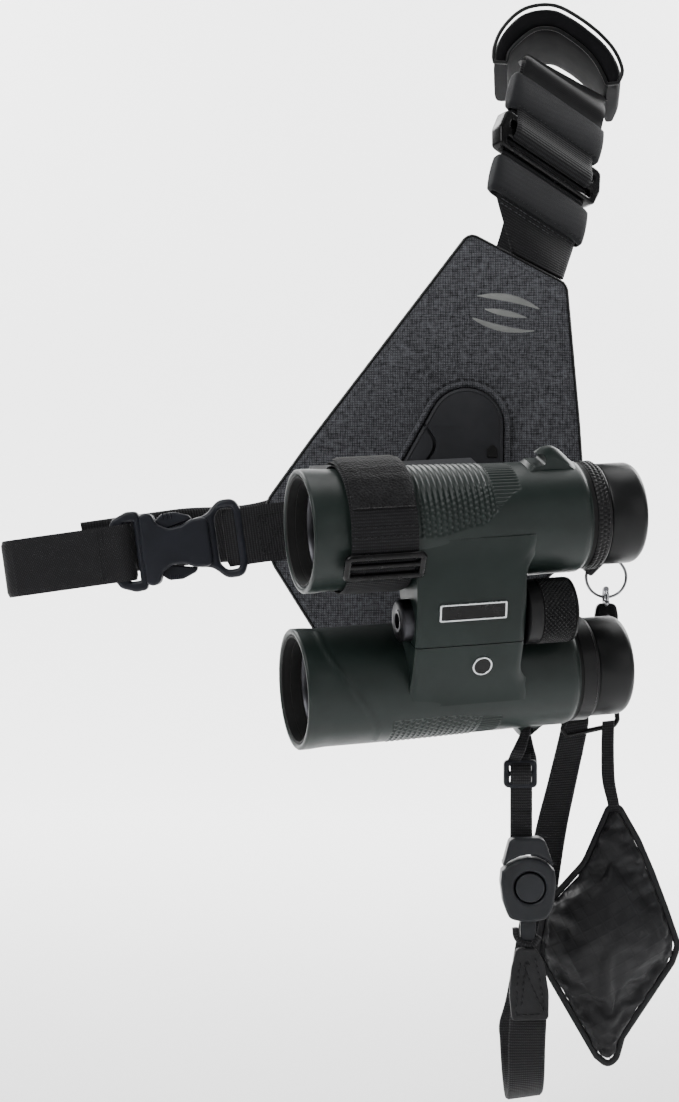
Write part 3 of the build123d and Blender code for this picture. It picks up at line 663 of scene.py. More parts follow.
def make_bridge_half(word, sign, seam, material):
    """One half of the bridge: a shaped slab from the seam over its barrel's crest, filleted into it."""
    left, right = 42.2, 88.3
    reach = sign * 36.0
    rows = [seam + (reach - seam) * k / 26 for k in range(27)]
    points = []
    columns = 34
    for b in rows:
        near = abs(b)
        grow = smoothstep(17, 34, near) ** 1.6
        a0, a1 = left - 0.5 * grow, right + 9.0 * grow
        top = bridge_top(b) - 0.25 * grow
        bottom = 14.0 - 9.0 * smoothstep(-2, 6, b * sign) - 13 * smoothstep(4, 22, b * sign)
        for k in range(columns + 1):
            t = k / columns
            a = a0 + (a1 - a0) * t
            edge = min(a - a0, a1 - a)
            drop = 0.9 * (1 - math.sqrt(max(0.0, 1 - (1 - min(1.0, edge / 0.9)) ** 2)))
            blend = grow * 4.2 * smoothstep(a1 - 9, a1, a) ** 2
            points.append((a, b, top - drop - blend))
        for k in reversed(range(columns + 1)):
            points.append((a0 + (a1 - a0) * k / columns, b, bottom))
    ring = 2 * (columns + 1)
    faces = grid_faces(len(rows), ring)
    faces += [tuple(reversed(range(ring))), tuple(range((len(rows) - 1) * ring, len(rows) * ring))]
    piece("bridge_shell_" + word, points, faces, material, word + "_barrel", slot="bridge",
          replaces=["bridge_" + word], place=BINO, sharp=35.0)


def make_lug(word, sign):
    """The strap lug, a fin that rises out of the armour with a slot at its foot."""
    centre = sign * half_spacing
    start, end = (92.5, 118.0) if word == "upper" else (94.5, 111.5)
    peak = 103.5 if word == "upper" else 103.0
    tall = 31.0 if word == "upper" else 30.6
    rings = []
    for k in range(25):
        t = k / 24
        a = start + (end - start) * t
        phase = (a - start) / (2 * (peak - start)) if a < peak else 0.5 + (a - peak) / (2 * (end - peak))
        rise = math.sin(math.pi * min(1.0, max(0.0, phase)))
        top = 21.5 + (tall - 21.5) * rise ** (0.9 if a < peak else 1.6)
        half = 2.6 + 1.6 * (1 - rise)
        ring = []
        for m in range(13):
            angle = math.pi * m / 12
            height = 19 + (top - 19) * math.sin(angle) ** 0.35
            spread = 1.0 + 1.2 * (1 - math.sin(angle))
            ring.append((a, centre + sign * height, half * math.cos(angle) * spread))
        rings.append(ring)
    lug = loft_rings("strap_lug_" + word, rings, "armour", word + "_barrel", slot="armour", place=BINO,
                     sharp=50.0)
    slot_mid = 98.0 if word == "upper" else 103.0
    hole = rectangle(slot_mid - 3.4, -2.1, slot_mid + 3.4, 2.1, 2)
    cutter_place = Place(BINO(0, centre + sign * 26.2, 0), BINO.x, BINO.y, BINO.z)
    cutter = solid("lug_cutter_" + word, hole, -15, 15, 0.05, "armour", word + "_barrel", place=cutter_place)
    carve(lug, cutter)


def bake(obj):
    """Apply every modifier."""
    graph = bpy.context.evaluated_depsgraph_get()
    mesh = bpy.data.meshes.new_from_object(obj.evaluated_get(graph))
    obj.modifiers.clear()
    obj.data = mesh
    mesh.shade_smooth()
    mesh.set_sharp_from_angle(angle=math.radians(45))


def carve(obj, cutter):
    """Cut one closed piece's shape out of another, and remove the cutter."""
    cut = obj.modifiers.new("cut", "BOOLEAN")
    cut.object = cutter
    cut.operation = "DIFFERENCE"
    cut.solver = "EXACT"
    bake(obj)
    bpy.data.objects.remove(cutter)


def make_focus_wheel():
    start, end, radius = 89.9, 111.2, 13.4

    def diamonds(a, angle):
        if not (start + 6.2 < a < end - 1.8):
            return 0.0
        u, v = (a - start) / 1.9, math.degrees(angle) / 9.0
        return 0.85 * abs(math.sin(math.pi * (u + v)) * math.sin(math.pi * (u - v))) ** 0.7

    stops = between(start + 6.0, end - 1.7, 0.24)
    profile = [(start, 5), (start, radius - 0.8), (start + 0.5, radius - 0.2), (start + 5.6, radius - 0.2),
               (start + 5.9, radius - 0.7)]
    profile += [(a, radius - 0.75) for a in stops]
    profile += [(end - 1.6, radius - 0.7), (end - 1.3, radius - 0.1), (end - 0.5, radius - 0.3),
                (end, radius - 1.4), (end - 0.6, 10), (end - 0.6, 5)]
    lathe("focus_knurl", profile, HINGE, "knurl_rubber", "focus_wheel", steps=480, relief=diamonds,
          slot="wheel_rubber", replaces=["focus_wheel"])
    lathe("shaft_end", [(111.4, 0.001), (111.4, 4.6), (113.6, 4.2), (114.2, 3.4), (114.2, 0.001)], HINGE,
          "anodised", "upper_barrel", slot="steel", replaces=["hinge_shaft"])
    lathe("hinge_cup", [(37.6, 3.3), (37.6, 7.6), (38.4, 8.6), (42.4, 8.6), (42.4, 3.3)], HINGE, "anodised",
          "upper_barrel", slot="aluminium", replaces=["hinge_cap"])
    lathe("tripod_socket", [(37.4, 3.2), (37.2, 4.6), (39, 4.8), (46, 4.8), (46, 3.2)], HINGE, "anodised",
          "upper_barrel", slot="steel")


def make_plates():
    """A blank name plate with a raised frame, and a blank round badge."""
    tilt = Place(BINO(65.5, 6.6, bridge_top(6.6)), BINO.x, (BINO.y - BINO.z * 0.06).normalized(),
                 (BINO.z + BINO.y * 0.06).normalized())
    frame_line = rectangle(-14.2, -3.6, 14.2, 3.6, 0.8)
    inner = rectangle(-13.4, -2.9, 13.4, 2.9, 0.5)
    solid("name_plate_frame", frame_line, -0.5, 0.75, 0.2, "silver_edge", "upper_barrel", holes=[inner],
          place=tilt, slot="plate")
    solid("name_plate_face", inner, -0.5, 0.5, 0.1, "plate", "upper_barrel", place=tilt, slot="plate",
          replaces=["name_plate"])
    spot = Place(BINO(71.3, -18.0, bridge_top(18.0)), BINO.x, (BINO.y + BINO.z * 0.14).normalized(),
                 (BINO.z - BINO.y * 0.14).normalized())
    disc = [Vector((4.2 * math.cos(2 * math.pi * k / 40), 4.2 * math.sin(2 * math.pi * k / 40)))
            for k in range(40)]
    small = [p * 0.83 for p in disc]
    solid("badge_rim", disc, -0.8, 0.7, 0.25, "silver_edge", "lower_barrel", holes=[small], place=spot,
          slot="plate")
    solid("badge_face", small, -0.8, 0.45, 0.1, "plate", "lower_barrel", place=spot, slot="plate",
          replaces=["badge"])


for word, sign, centre in (("upper", 1, UPPER), ("lower", -1, LOWER)):
    make_armour(word, centre)
    make_eyepiece(word, centre, "dioptre_ring" if sign > 0 else "lower_barrel", "cup_" + word,
                  "sleeve_" + word)
    make_lug(word, sign)
make_bridge_half("upper", 1, -7.9, "bridge")
make_bridge_half("lower", -1, -8.3, "bridge")
make_focus_wheel()
make_plates()

# ---------------------------------------------------------------- more materials
def fuzzy(name, colour):
    """The loop side of a hook-and-loop strap, or brushed pile."""
    paint = Paint(name, colour, 0.95)
    paint.shader.inputs["Sheen Weight"].default_value = 0.12
    paint.shader.inputs["Specular IOR Level"].default_value = 0.15
    place = paint.coords()
    curls = paint.node("TexVoronoi", {"Vector": place, "Scale": 1100.0}).outputs["Distance"]
    cloud = paint.noise(place, 260.0, 4.0)
    mix = paint.math("ADD", paint.math("MULTIPLY", curls, 0.6), paint.math("MULTIPLY", cloud, 0.6))
    paint.colour(paint.ramp(mix, [(0.3, shade(colour, 0.4)), (0.8, shade(colour, 2.2))]))
    paint.bump(mix, 1.0, 0.0006)
    return paint.material


def ripstop(name, colour):
    """Thin black nylon with a faint grid of thicker threads."""
    paint = Paint(name, colour, 0.42)
    paint.shader.inputs["Sheen Weight"].default_value = 0.04
    lean = paint.node("Mapping", {"Vector": paint.node("TexCoord").outputs["Object"],
                                  "Rotation": (0, 0.5, 0)})
    place = lean.outputs["Vector"]
    lines = paint.math("MAXIMUM", paint.wave(place, 63.0, "X", 0.3), paint.wave(place, 63.0, "Z", 0.3))
    grid = paint.math("POWER", lines, 14.0)
    fine = paint.math("MULTIPLY", paint.wave(place, 700.0, "X", 0.2), paint.wave(place, 700.0, "Z", 0.2))
    cloud = paint.noise(place, 40.0, 3.0)
    paint.colour(paint.ramp(cloud, [(0.3, shade(colour, 0.85)), (0.7, shade(colour, 1.2))]))
    paint.rough(cloud, 0.42, 0.52)
    paint.bump(fine, 0.25, 0.00008)
    paint.bump(grid, 0.35, 0.00015)
    return paint.material


def leather(name, colour):
    paint = Paint(name, colour, 0.6)
    place = paint.coords()
    pebble = paint.node("TexVoronoi", {"Vector": place, "Scale": 1300.0},
                        feature="DISTANCE_TO_EDGE").outputs["Distance"]
    cloud = paint.noise(place, 120.0, 4.0)
    paint.colour(paint.ramp(cloud, [(0.3, shade(colour, 0.7)), (0.7, shade(colour, 1.35))]))
    paint.rough(cloud, 0.5, 0.72)
    paint.bump(pebble, 0.5, 0.00012)
    return paint.material


def spacer_mesh(name, colour):
    """The lining's air mesh: a field of small round holes."""
    paint = Paint(name, colour, 0.85)
    place = paint.coords()
    cells = paint.node("TexVoronoi", {"Vector": place, "Scale": 420.0}).outputs["Distance"]
    paint.colour(paint.ramp(cells, [(0.12, shade(colour, 0.25)), (0.4, shade(colour, 1.6))]))
    paint.bump(cells, 0.9, 0.0005)
    return paint.material


M.update({
    "fuzz": fuzzy("hook_and_loop_pile", (0.0055, 0.0055, 0.006)),
    "ripstop": ripstop("ripstop_nylon", (0.0055, 0.0055, 0.0065)),
    "leather": leather("grained_leather", (0.011, 0.011, 0.012)),
    "mesh": spacer_mesh("spacer_mesh", (0.035, 0.035, 0.038)),
    "thread": moulded("sewing_thread", (0.008, 0.008, 0.009), 0.6, 3000.0, 0.5),
    "grey_thread": moulded("grey_thread", (0.045, 0.047, 0.052), 0.6, 3000.0, 0.5),
    "silver_thread": moulded("silver_thread", (0.20, 0.205, 0.20), 0.42, 3000.0, 0.5),
    "tape": webbing("edge_tape", (0.006, 0.006, 0.007), 0.8, 1.2, 1.5),
    "neoprene": moulded("neoprene", (0.0050, 0.0050, 0.0058), 0.75, 2600.0, 0.3, Specular_IOR_Level=0.08),
})


# ---------------------------------------------------------------- more mesh helpers
def threads(name, lines, body, lift, material, radius=0.28, arch=1.1, slot="binding"):
    """One small rounded thread for each pair of points, all in one mesh."""
    points, faces = [], []
    lift = Vector(lift)
    for start, end in lines:
        start, end = Vector(start), Vector(end)
        way = (end - start).normalized()
        side = way.cross(lift).normalized()
        up = side.cross(way).normalized()
        base = len(points)
        for step in range(5):
            t = step / 4
            swell = math.sin(math.pi * t)
            centre = start.lerp(end, t) + up * swell * radius * arch
            for k in range(6):
                angle = 2 * math.pi * k / 6
                size = radius * (0.55 + 0.45 * swell)
                points.append(tuple(centre + (side * math.cos(angle) + up * math.sin(angle)) * size))
        for step in range(4):
            for k in range(6):
                a, b = base + step * 6 + k, base + step * 6 + (k + 1) % 6
                faces.append((a, b, b + 6, a + 6))
        faces.append(tuple(base + k for k in reversed(range(6))))
        faces.append(tuple(base + 24 + k for k in range(6)))
    return piece(name, points, faces, material, body, slot=slot)


def dashes(path, length=2.2, gap=1.3, closed=False):
    """Stitch-long pairs of points along a line."""
    path = [Vector(p) for p in path]
    if closed:
        path.append(path[0])
    out = []
    carry = 0.0
    for start, end in zip(path, path[1:]):
        total = (end - start).length
        if total < 1e-6:
            continue
        way = (end - start) / total
        place = carry
        while place + length <= total + 0.3:
            out.append((start + way * place, start + way * (place + length)))
            place += length + gap
        carry = max(0.0, place - total)
    return out


def outline_of(node, gap=1.6):
    """The outline of a flat CAD node's front, as evenly spaced (x, z) points in order round its middle."""
    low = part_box(node)[0]
    found = {(round(v.co.x / MM, 2), round(v.co.z / MM, 2)) for v in frame["nodes"][node].data.vertices
             if abs(v.co.y - low.y) < 1e-5}
    found = [Vector(p) for p in found]
    centre = sum(found, Vector((0, 0))) / len(found)
    found.sort(key=lambda p: math.atan2(p.y - centre.y, p.x - centre.x))
    out = []
    for start, end in zip(found, found[1:] + found[:1]):
        count = max(1, round((end - start).length / gap))
        out += [start.lerp(end, k / count) for k in range(count)]
    return out


def hull(points, gap):
    """The convex outline round some points, anticlockwise and evenly spaced."""
    points = sorted(set((round(p.x, 2), round(p.y, 2)) for p in points))
    ring = []
    for run in (points, points[::-1]):
        part = []
        for p in run:
            while len(part) > 1 and (part[-1][0] - part[-2][0]) * (p[1] - part[-2][1]) <= (
                    part[-1][1] - part[-2][1]) * (p[0] - part[-2][0]):
                part.pop()
            part.append(p)
        ring += part[:-1]
    ring = [Vector(p) for p in ring]
    total = [(b - a).length for a, b in zip(ring, ring[1:] + ring[:1])]
    count = round(sum(total) / gap)
    out, k, left = [], 0, 0.0
    for i in range(count):
        want = sum(total) * i / count
        while want > left + total[k]:
            left += total[k]
            k += 1
        out.append(ring[k].lerp(ring[(k + 1) % len(ring)], (want - left) / total[k]))
    return out


def grown(outline, reach):
    """An outline moved outwards by a distance."""
    out = []
    count = len(outline)
    for i in range(count):
        way = (outline[(i + 1) % count] - outline[i - 1]).normalized()
        out.append(outline[i] + Vector((way.y, -way.x)) * reach)
    return out


def edging(name, outline, centre, half_out, half_deep, material, body, place=FRONT, **more):
    """A rounded strip that follows a closed outline: its section is a squashed circle."""
    count = len(outline)
    points, uvs = [], []
    run = 0.0
    for i in range(count):
        way = (outline[(i + 1) % count] - outline[i - 1]).normalized()
        out = Vector((way.y, -way.x))
        for k in range(12):
            angle = 2 * math.pi * k / 12
            flat = outline[i] + out * half_out * math.cos(angle)
            points.append((flat.x, flat.y, centre + half_deep * math.sin(angle)))
            uvs.append((run, k * 0.7))
        run += (outline[(i + 1) % count] - outline[i]).length
    return piece(name, points, grid_faces(count, 12, wrap_rows=True), material, body, uvs=uvs, place=place,
                 **more)


def band(name, half_wide, half_thick, start, end, bulge, material, body, place, wall=1.3, **more):
    """A stretched sleeve round a strap, with rolled edges."""
    rows, points, uvs = 15, [], []
    sides = 72
    for layer in (0, 1):
        for i in range(rows):
            t = i / (rows - 1)
            y = start + (end - start) * (t if layer == 0 else 1 - t)
            swell = bulge * math.sin(math.pi * t) ** 0.6 if layer == 0 else 0.0
            reach = wall * (1 if 0 < i < rows - 1 else 0.55) if layer == 0 else 0.0
            for k in range(sides):
                angle = 2 * math.pi * k / sides
                c, s = math.cos(angle), math.sin(angle)
                x = math.copysign(abs(c) ** 0.22, c) * (half_wide + reach + swell * 0.4)
                z = math.copysign(abs(s) ** 0.5, s) * (half_thick + reach + swell)
                points.append((x, y, z))
                uvs.append((y, x + z))
    return piece(name, points, grid_faces(2 * rows, sides, wrap_rows=True), material, body, uvs=uvs,
                 place=place, **more)


def front_place(point):
    """x to the right, y up and z towards the viewer, from a point in millimetres."""
    return Place(point, (1, 0, 0), (0, 0, 1), (0, -1, 0))


# ---------------------------------------------------------------- panel
def circle(x, y, radius, steps=64):
    return [Vector((x + radius * math.cos(2 * math.pi * k / steps),
                    y + radius * math.sin(2 * math.pi * k / steps)))
            for k in range(steps)]


def make_panel():
    outline = hull(outline_of("panel_face"), 1.6)
    thick = -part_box("panel_face")[0].y / MM
    centre = sum(outline, Vector((0, 0))) / len(outline)
    rings = [1.0, 0.995, 0.985, 0.97, 0.95, 0.92, 0.88, 0.82, 0.74, 0.64, 0.52, 0.4, 0.28, 0.16, 0.06]
    points = []
    for s in rings:
        for p in outline:
            flat = centre.lerp(p, s)
            away = (p - centre).length * (1 - s)
            soft = noise.noise(Vector((flat.x * 0.03, flat.y * 0.03, 2.0))) * 0.45
            rise = 1.3 * (1 - math.exp(-away / 2.2)) + soft * (1 - math.exp(-away / 8))
            points.append((flat.x, flat.y, thick - 0.5 + rise))
    points += [(p.x, p.y, 1.0) for p in outline]
    count = len(outline)
    faces = grid_faces(len(rings), count)
    faces.append(tuple((len(rings) - 1) * count + k for k in range(count)))
    base = len(rings) * count
    faces += [(k, (k + 1) % count, base + (k + 1) % count, base + k) for k in range(count)]
    skin = piece("panel_skin", points, faces, "heather", "harness", slot="panel_fabric",
                 replaces=["panel_face", "panel_foam"], place=FRONT, sharp=60.0)
    edging("panel_edge_tape", grown(outline, 0.5), thick / 2, 0.9, thick / 2 + 0.3, "tape", "harness",
           slot="binding", replaces=["panel_binding"])
    seam = [FRONT(p.x, p.y, thick + 0.15) for p in grown(outline, -2.4)]
    threads("panel_seam", dashes(seam, 1.9, 1.3, closed=True), "harness", (0, -1, 0), "thread", 0.2,
            slot="binding")


def make_motif():
    """A plain sewn ornament of three leaves, in satin stitch."""
    base = front_place(Vector((28.5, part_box("panel_face")[0].y / MM - 0.6, 90.5)))
    lines = []
    for turn, reach, x0, y0 in ((-12, 13.5, 0, 5), (-12, 13.5, 0, -5), (-12, 9.0, 0, 0)):
        c, s = math.cos(math.radians(turn)), math.sin(math.radians(turn))
        count = int(reach * 2 / 0.42)
        for i in range(count + 1):
            t = -1 + 2 * i / count
            half = 2.0 * math.cos(math.pi / 2 * t) ** 0.8 + 0.15
            bow = (1.8 if y0 > 0 else -1.8 if y0 < 0 else 0.0) * (1 - t * t)
            low = (x0 + t * reach - 0.5, y0 + bow - half)
            high = (x0 + t * reach + 0.5, y0 + bow + half)
            lines.append(tuple(base(x * c - y * s, x * s + y * c, 0.0) for x, y in (low, high)))
    threads("sewn_motif", lines, "harness", (0, -1, 0), "silver_thread", 0.25, arch=1.4)


def make_receptor():
    outline = hull(outline_of("receptor_plate"), 1.3)
    back, front = 6.0, -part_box("receptor_plate")[0].y / MM
    plate = solid("receptor_disc", grown(outline, -0.2), back, front, 0.9, "plastic", "harness",
                  holes=[circle(0, 0, 13.2)], slot="receptor_plastic", replaces=["receptor_plate"])
    line = curve_through([(-8.8, 43.5, 0), (-6.0, 39.5, 0), (-3.2, 34.8, 0), (-3.4, 30.5, 0),
                          (-6.6, 25.5, 0)], 6)
    left = [Vector((p.x - 0.75, p.y)) for p in line]
    right = [Vector((p.x + 0.75, p.y)) for p in reversed(line)]
    cutter = solid("slit_cutter", left + right, front - 2.6, front + 2, 0.05, "plastic", "harness")
    carve(plate, cutter)
    low = arc_points([(20, 27, 0.8), (24.5, 27, 0.8), (24.5, 31, 0.8), (22.5, 33, 0.8), (20, 31, 0.8)])
    solid("receptor_catch", low, front - 1, front + 0.7, 0.4, "inner_black", "harness",
          slot="receptor_plastic")
    edging("receptor_lip", grown(outline, 1.5), front - 3.4, 1.5, 2.6, "heather", "harness", slot="trim",
           replaces=["receptor_trim"])
    seam = [FRONT(p.x, p.y, 8.3) for p in grown(outline, 4.0)]
    threads("receptor_stitching", dashes(seam, 1.7, 1.0, closed=True), "harness", (0, -1, 0), "thread", 0.24)
    edging("receptor_bead", grown(outline, -1.4), front, 0.35, 0.3, "plastic", "harness",
           slot="receptor_plastic")


# ---------------------------------------------------------------- strap round the upper barrel
def on_barrel(a, degrees, radius, sign=1):
    angle = math.radians(degrees)
    return (a, sign * half_spacing + radius * math.sin(angle), radius * math.cos(angle))


def make_wrap():
    def arc(start, end, radius, low, high, name, thick, material, count=24, wobble=0.0, **more):
        stations = []
        for k in range(count + 1):
            degrees = start + (end - start) * k / count
            shift = wobble * math.sin(degrees * 0.12)
            r = radius(degrees) if callable(radius) else radius
            stations.append((on_barrel(low + shift, degrees, r), on_barrel(high + shift * 0.5, degrees, r)))
        return strap(name, stations, thick, material, "upper_barrel", steps=2, place=BINO, **more)

    arc(-128, 150, 25.55, 14.6, 41.4, "barrel_strap", 1.2, "webbing", slot="hook_loop",
        replaces=["adapter_strap"])
    arc(-4, 120, 26.9, 14.2, 41.7, "barrel_strap_end", 1.3, "webbing", slot="hook_loop")
    arc(36, 112, lambda d: 28.1 + 0.35 * noise.noise(Vector((d * 0.09, 1, 5))), 15.2, 41.2, "pile_patch",
        1.6, "fuzz", count=40, wobble=0.4, slot="hook_loop")
    arc(-3, -20, 26.9, 14.4, 41.5, "barrel_strap_fold", 1.3, "webbing", count=6, slot="hook_loop")
    corners = []
    for a, degrees in ((12.6, -5.5), (13.6, -4.0), (42.4, -4.0), (43.4, -5.5), (43.4, -21.5), (42.4, -23),
                       (13.6, -23), (12.6, -21.5)):
        corners.append(BINO(*on_barrel(a, degrees, 28.4)))
    path = []
    for start, end in zip(corners, corners[1:] + corners[:1]):
        path += [start.lerp(end, k / 6) for k in range(6)]
    tube("barrel_strap_ring", path, 1.5, "plate", "upper_barrel", closed=True, slot="steel")
    bar = [BINO(*on_barrel(a, -12.5, 28.1)) for a in between(12.9, 43.1, 3)]
    tube("barrel_strap_bar", bar, 1.2, "plate", "upper_barrel", slot="steel")
    rows = []
    for degrees in (20.5, 12.5):
        rows += dashes([BINO(*on_barrel(a, degrees, 27.6)) for a in between(15, 41, 2.6)], 1.6, 1.0)
    threads("barrel_strap_hem", rows, "upper_barrel", BINO.z, "thread", 0.24)


# ---------------------------------------------------------------- side strap and buckle
def make_side():
    half = 12.5

    line = [(-13, 2.4), (-4, 2.5), (6, 2.5), (16, 2.5), (20.5, 2.2), (23.4, 0.6), (23.6, -0.6), (20.5, -2.2)]
    line += [(16, -2.5), (8, -2.5)]
    strap("side_tab_front", [((s, -half, d), (s, half, d)) for s, d in line], 1.8, "narrow", "harness",
          place=SIDE, slot="webbing", replaces=["side_tab_webbing"])
    box = [(-6, -8.5), (9, -8.5), (9, 8.5), (-6, 8.5)]
    lines = [[SIDE(*p, 3.6) for p in box + box[:1]], [SIDE(*box[0], 3.6), SIDE(*box[2], 3.6)],
             [SIDE(*box[1], 3.6), SIDE(*box[3], 3.6)]]
    threads("side_tab_box_stitch", [d for line in lines for d in dashes(line, 1.7, 0.9)], "harness", SIDE.z,
            "thread", 0.25)
    rim = [(15.5, -11, 6), (18, -17.3, 5), (25.5, -17.3, 6), (31.5, -11.5, 8), (40, -10.5, 6)]
    loop = arc_points(mirrored(rim, [(42, 0, 2)]))
    hole = arc_points(mirrored([(19.4, -13.6, 2.4), (25.5, -13.6, 4), (28.0, -10, 4)]))
    solid("buckle_ring", loop, -3.9, 3.9, 1.5, "buckle", "harness", holes=[hole], place=SIDE, slot="buckle",
          replaces=["buckle_socket"])
    shell = [(30.6, -11.0, 4), (38.5, -10.6, 5), (42.5, -8.6, 4), (48.5, -8.0, 5), (53, -10.5, 4),
             (54.8, -15.2, 3), (58, -16.2, 3), (60.8, -15.0, 3)]
    shell = arc_points(mirrored(shell, [(61.3, 0, 12)]))
    for name, low, high in (("buckle_front_shell", 2.5, 5.6), ("buckle_back_shell", -5.4, -2.5)):
        solid(name, shell, low, high, 1.2, "buckle", "harness", place=SIDE, slot="buckle")
    for side in (-1, 1):
        rail = [(54.5, 12.5, 1), (55, 15.3, 2), (59.6, 15.3, 2), (59.8, 12.8, 1)]
        rail = arc_points([(x, side * y, r) for x, y, r in rail])
        solid("buckle_rail_" + ("top" if side < 0 else "bottom"), rail, -3.2, 3.2, 0.4, "buckle", "harness",
              place=SIDE, slot="buckle")
        word = "upper" if side < 0 else "lower"
        arm = [(59.3, 7.4, 1), (59.3, 10.6, 1), (53.5, 12.4, 3), (51.0, 14.6, 3), (45, 14.9, 3),
               (38.8, 12.6, 3), (37.6, 10.6, 1.5), (43, 9.4, 3), (50, 7.8, 3)]
        solid("buckle_prong_arm_" + word, arc_points([(x, side * y, r) for x, y, r in arm]), -2.1, 2.3, 0.7,
              "buckle", "prong_" + word, place=SIDE, slot="buckle", replaces=["buckle_prong_" + word])
        rib = [SIDE(46.5 + 1.8 * k, side * 13.6, 2.4) for k in range(3)]
        for k, spot in enumerate(rib):
            tube("prong_grip_%s_%d" % (word, k), [spot - SIDE.y * 1.1, spot + SIDE.y * 1.1], 0.35, "buckle",
                 "prong_" + word, slot="buckle")
    plug = arc_points([(59.9, -14, 2), (61.0, -17.4, 4), (66, -17.8, 5), (72.5, -15.2, 4), (74.6, -11.5, 4),
                       (74.8, 11.5, 4), (72.5, 15.2, 4), (66, 17.8, 5), (61.0, 17.4, 4), (59.9, 14, 2)])
    gap = rectangle(63.4, -12.9, 67.8, 12.9, 0.6)
    solid("buckle_plug_frame", plug, -3.3, 3.3, 1.3, "buckle", "side_strap", holes=[gap], place=SIDE,
          slot="buckle", replaces=["buckle_plug"])
    tongue = arc_points(mirrored([(41, -1.8, 1), (60.5, -2.6, 0.5)]))
    solid("buckle_guide", tongue, -1.6, 1.6, 0.5, "buckle", "side_strap", place=SIDE, slot="buckle")
    turn = [(115 + 7.1 * math.sin(t), -3.6 + 7.1 * math.cos(t))
            for t in [math.pi * k / 8 for k in range(1, 8)]]
    line = [(65.4, -1.6), (65.9, 2.0), (68.4, 4.5), (73, 4.9), (88, 3.7), (102, 3.5), (115, 3.5)]
    line += turn + [(115, -10.7), (100, -10.7), (87, -10.8)]
    strap("side_elastic_strap", [((s, -half, d), (s, half, d)) for s, d in line], 1.8, "elastic",
          "side_strap", place=SIDE, slot="elastic", replaces=["side_elastic"], steps=10)
    rows = [d for s in (77.5, 79.6) for d in dashes([SIDE(s, t, 5.5) for t in between(-11, 11, 2)], 1.5, 0.8)]
    threads("side_elastic_tack", rows, "side_strap", SIDE.z, "thread", 0.22)


# ---------------------------------------------------------------- shoulder
def make_shoulder():
    half = 25.0
    low, high = -26.0, 44.0
    place = SHOULDER
    end_low = [Vector((31.5, -4.2, 117.6)), Vector((54.0, -4.2, 105.8))]
    end_pad = [Vector((38, 44, 212)), Vector((78, 62, 196))]
    end_top = [Vector((42, 60, 218)), Vector((82, 76, 200))]

    def station(y, height=0.0):
        return (place(-half, y, height), place(half, y, height))

    rows = [tuple(end_low), station(low + 3), station(-15), station(0), station(15), station(30),
            station(high), tuple(end_pad), tuple(end_top)]
    strap("shoulder_strap", rows, 2.0, "webbing", "harness", steps=12, columns=30, slot="webbing",
          replaces=["shoulder_webbing"])
    top = [station(30.0, 2.6), station(38, 2.7), station(high + 2, 2.8),
           (end_pad[0] + place.z * 2.2, end_pad[1] + place.z
            * 2.2), (end_top[0] + place.z * 2, end_top[1] + place.z * 2)]
    strap("smooth_strap", top, 1.2, "smooth_strap", "harness", steps=12, columns=24, slot="webbing")
    band("keeper_band_lower", half + 1.2, 1.6, -25.5, -7.0, 1.3, "keeper", "keeper_lower", place,
         slot="keeper", replaces=["keeper_lower"])
    band("keeper_band_upper", half + 1.2, 1.6, 18.2, 37.0, 1.6, "keeper", "keeper_upper", place,
         slot="keeper", replaces=["keeper_upper"])
    for y, name in ((-24.6, "lower"), (19.2, "upper")):
        line = [place(x, y, 4.0) for x in between(-25, 25, 2.5)]
        threads("keeper_seam_" + name, dashes(line, 1.7, 0.9), "keeper_" + name, place.z, "thread", 0.22)
    bevelled = arc_points([(-29, -2.8, 4), (-27, -3.6, 2), (27, -3.6, 2), (29, -2.8, 4), (31, 5, 6),
                           (29.5, 14, 3), (27, 15, 2), (-27, 15, 2), (-29.5, 14, 3), (-31, 5, 6)])
    holes = [rectangle(-25.6, y, 25.6, y + 3.6, 1) for y in (-0.9, 7.4)]
    solid("slider_frame", bevelled, -3.6, 3.6, 1.2, "plate", "slider", holes=holes, place=place,
          slot="buckle", replaces=["shoulder_slider"])
    fold = [station(23, 1.9), station(17, 2.6), station(12.5, 3.6), station(9.2, 4.9), station(5.6, 5.1),
            station(3.6, 4.2), station(3.0, 2.4)]
    inset = [(a.lerp(b, 0.03), b.lerp(a, 0.03)) for a, b in fold]
    strap("slider_fold", inset, 1.5, "webbing", "slider", steps=6, columns=30, slot="webbing")
    rows = [d for y, h in ((-29.5, 1.6), (-27.2, 1.6))
            for d in dashes([place(x, y, h) for x in between(-21, 21, 2.1)], 1.6, 0.8)]
    threads("shoulder_strap_tacks", rows, "harness", place.z, "grey_thread", 0.22)


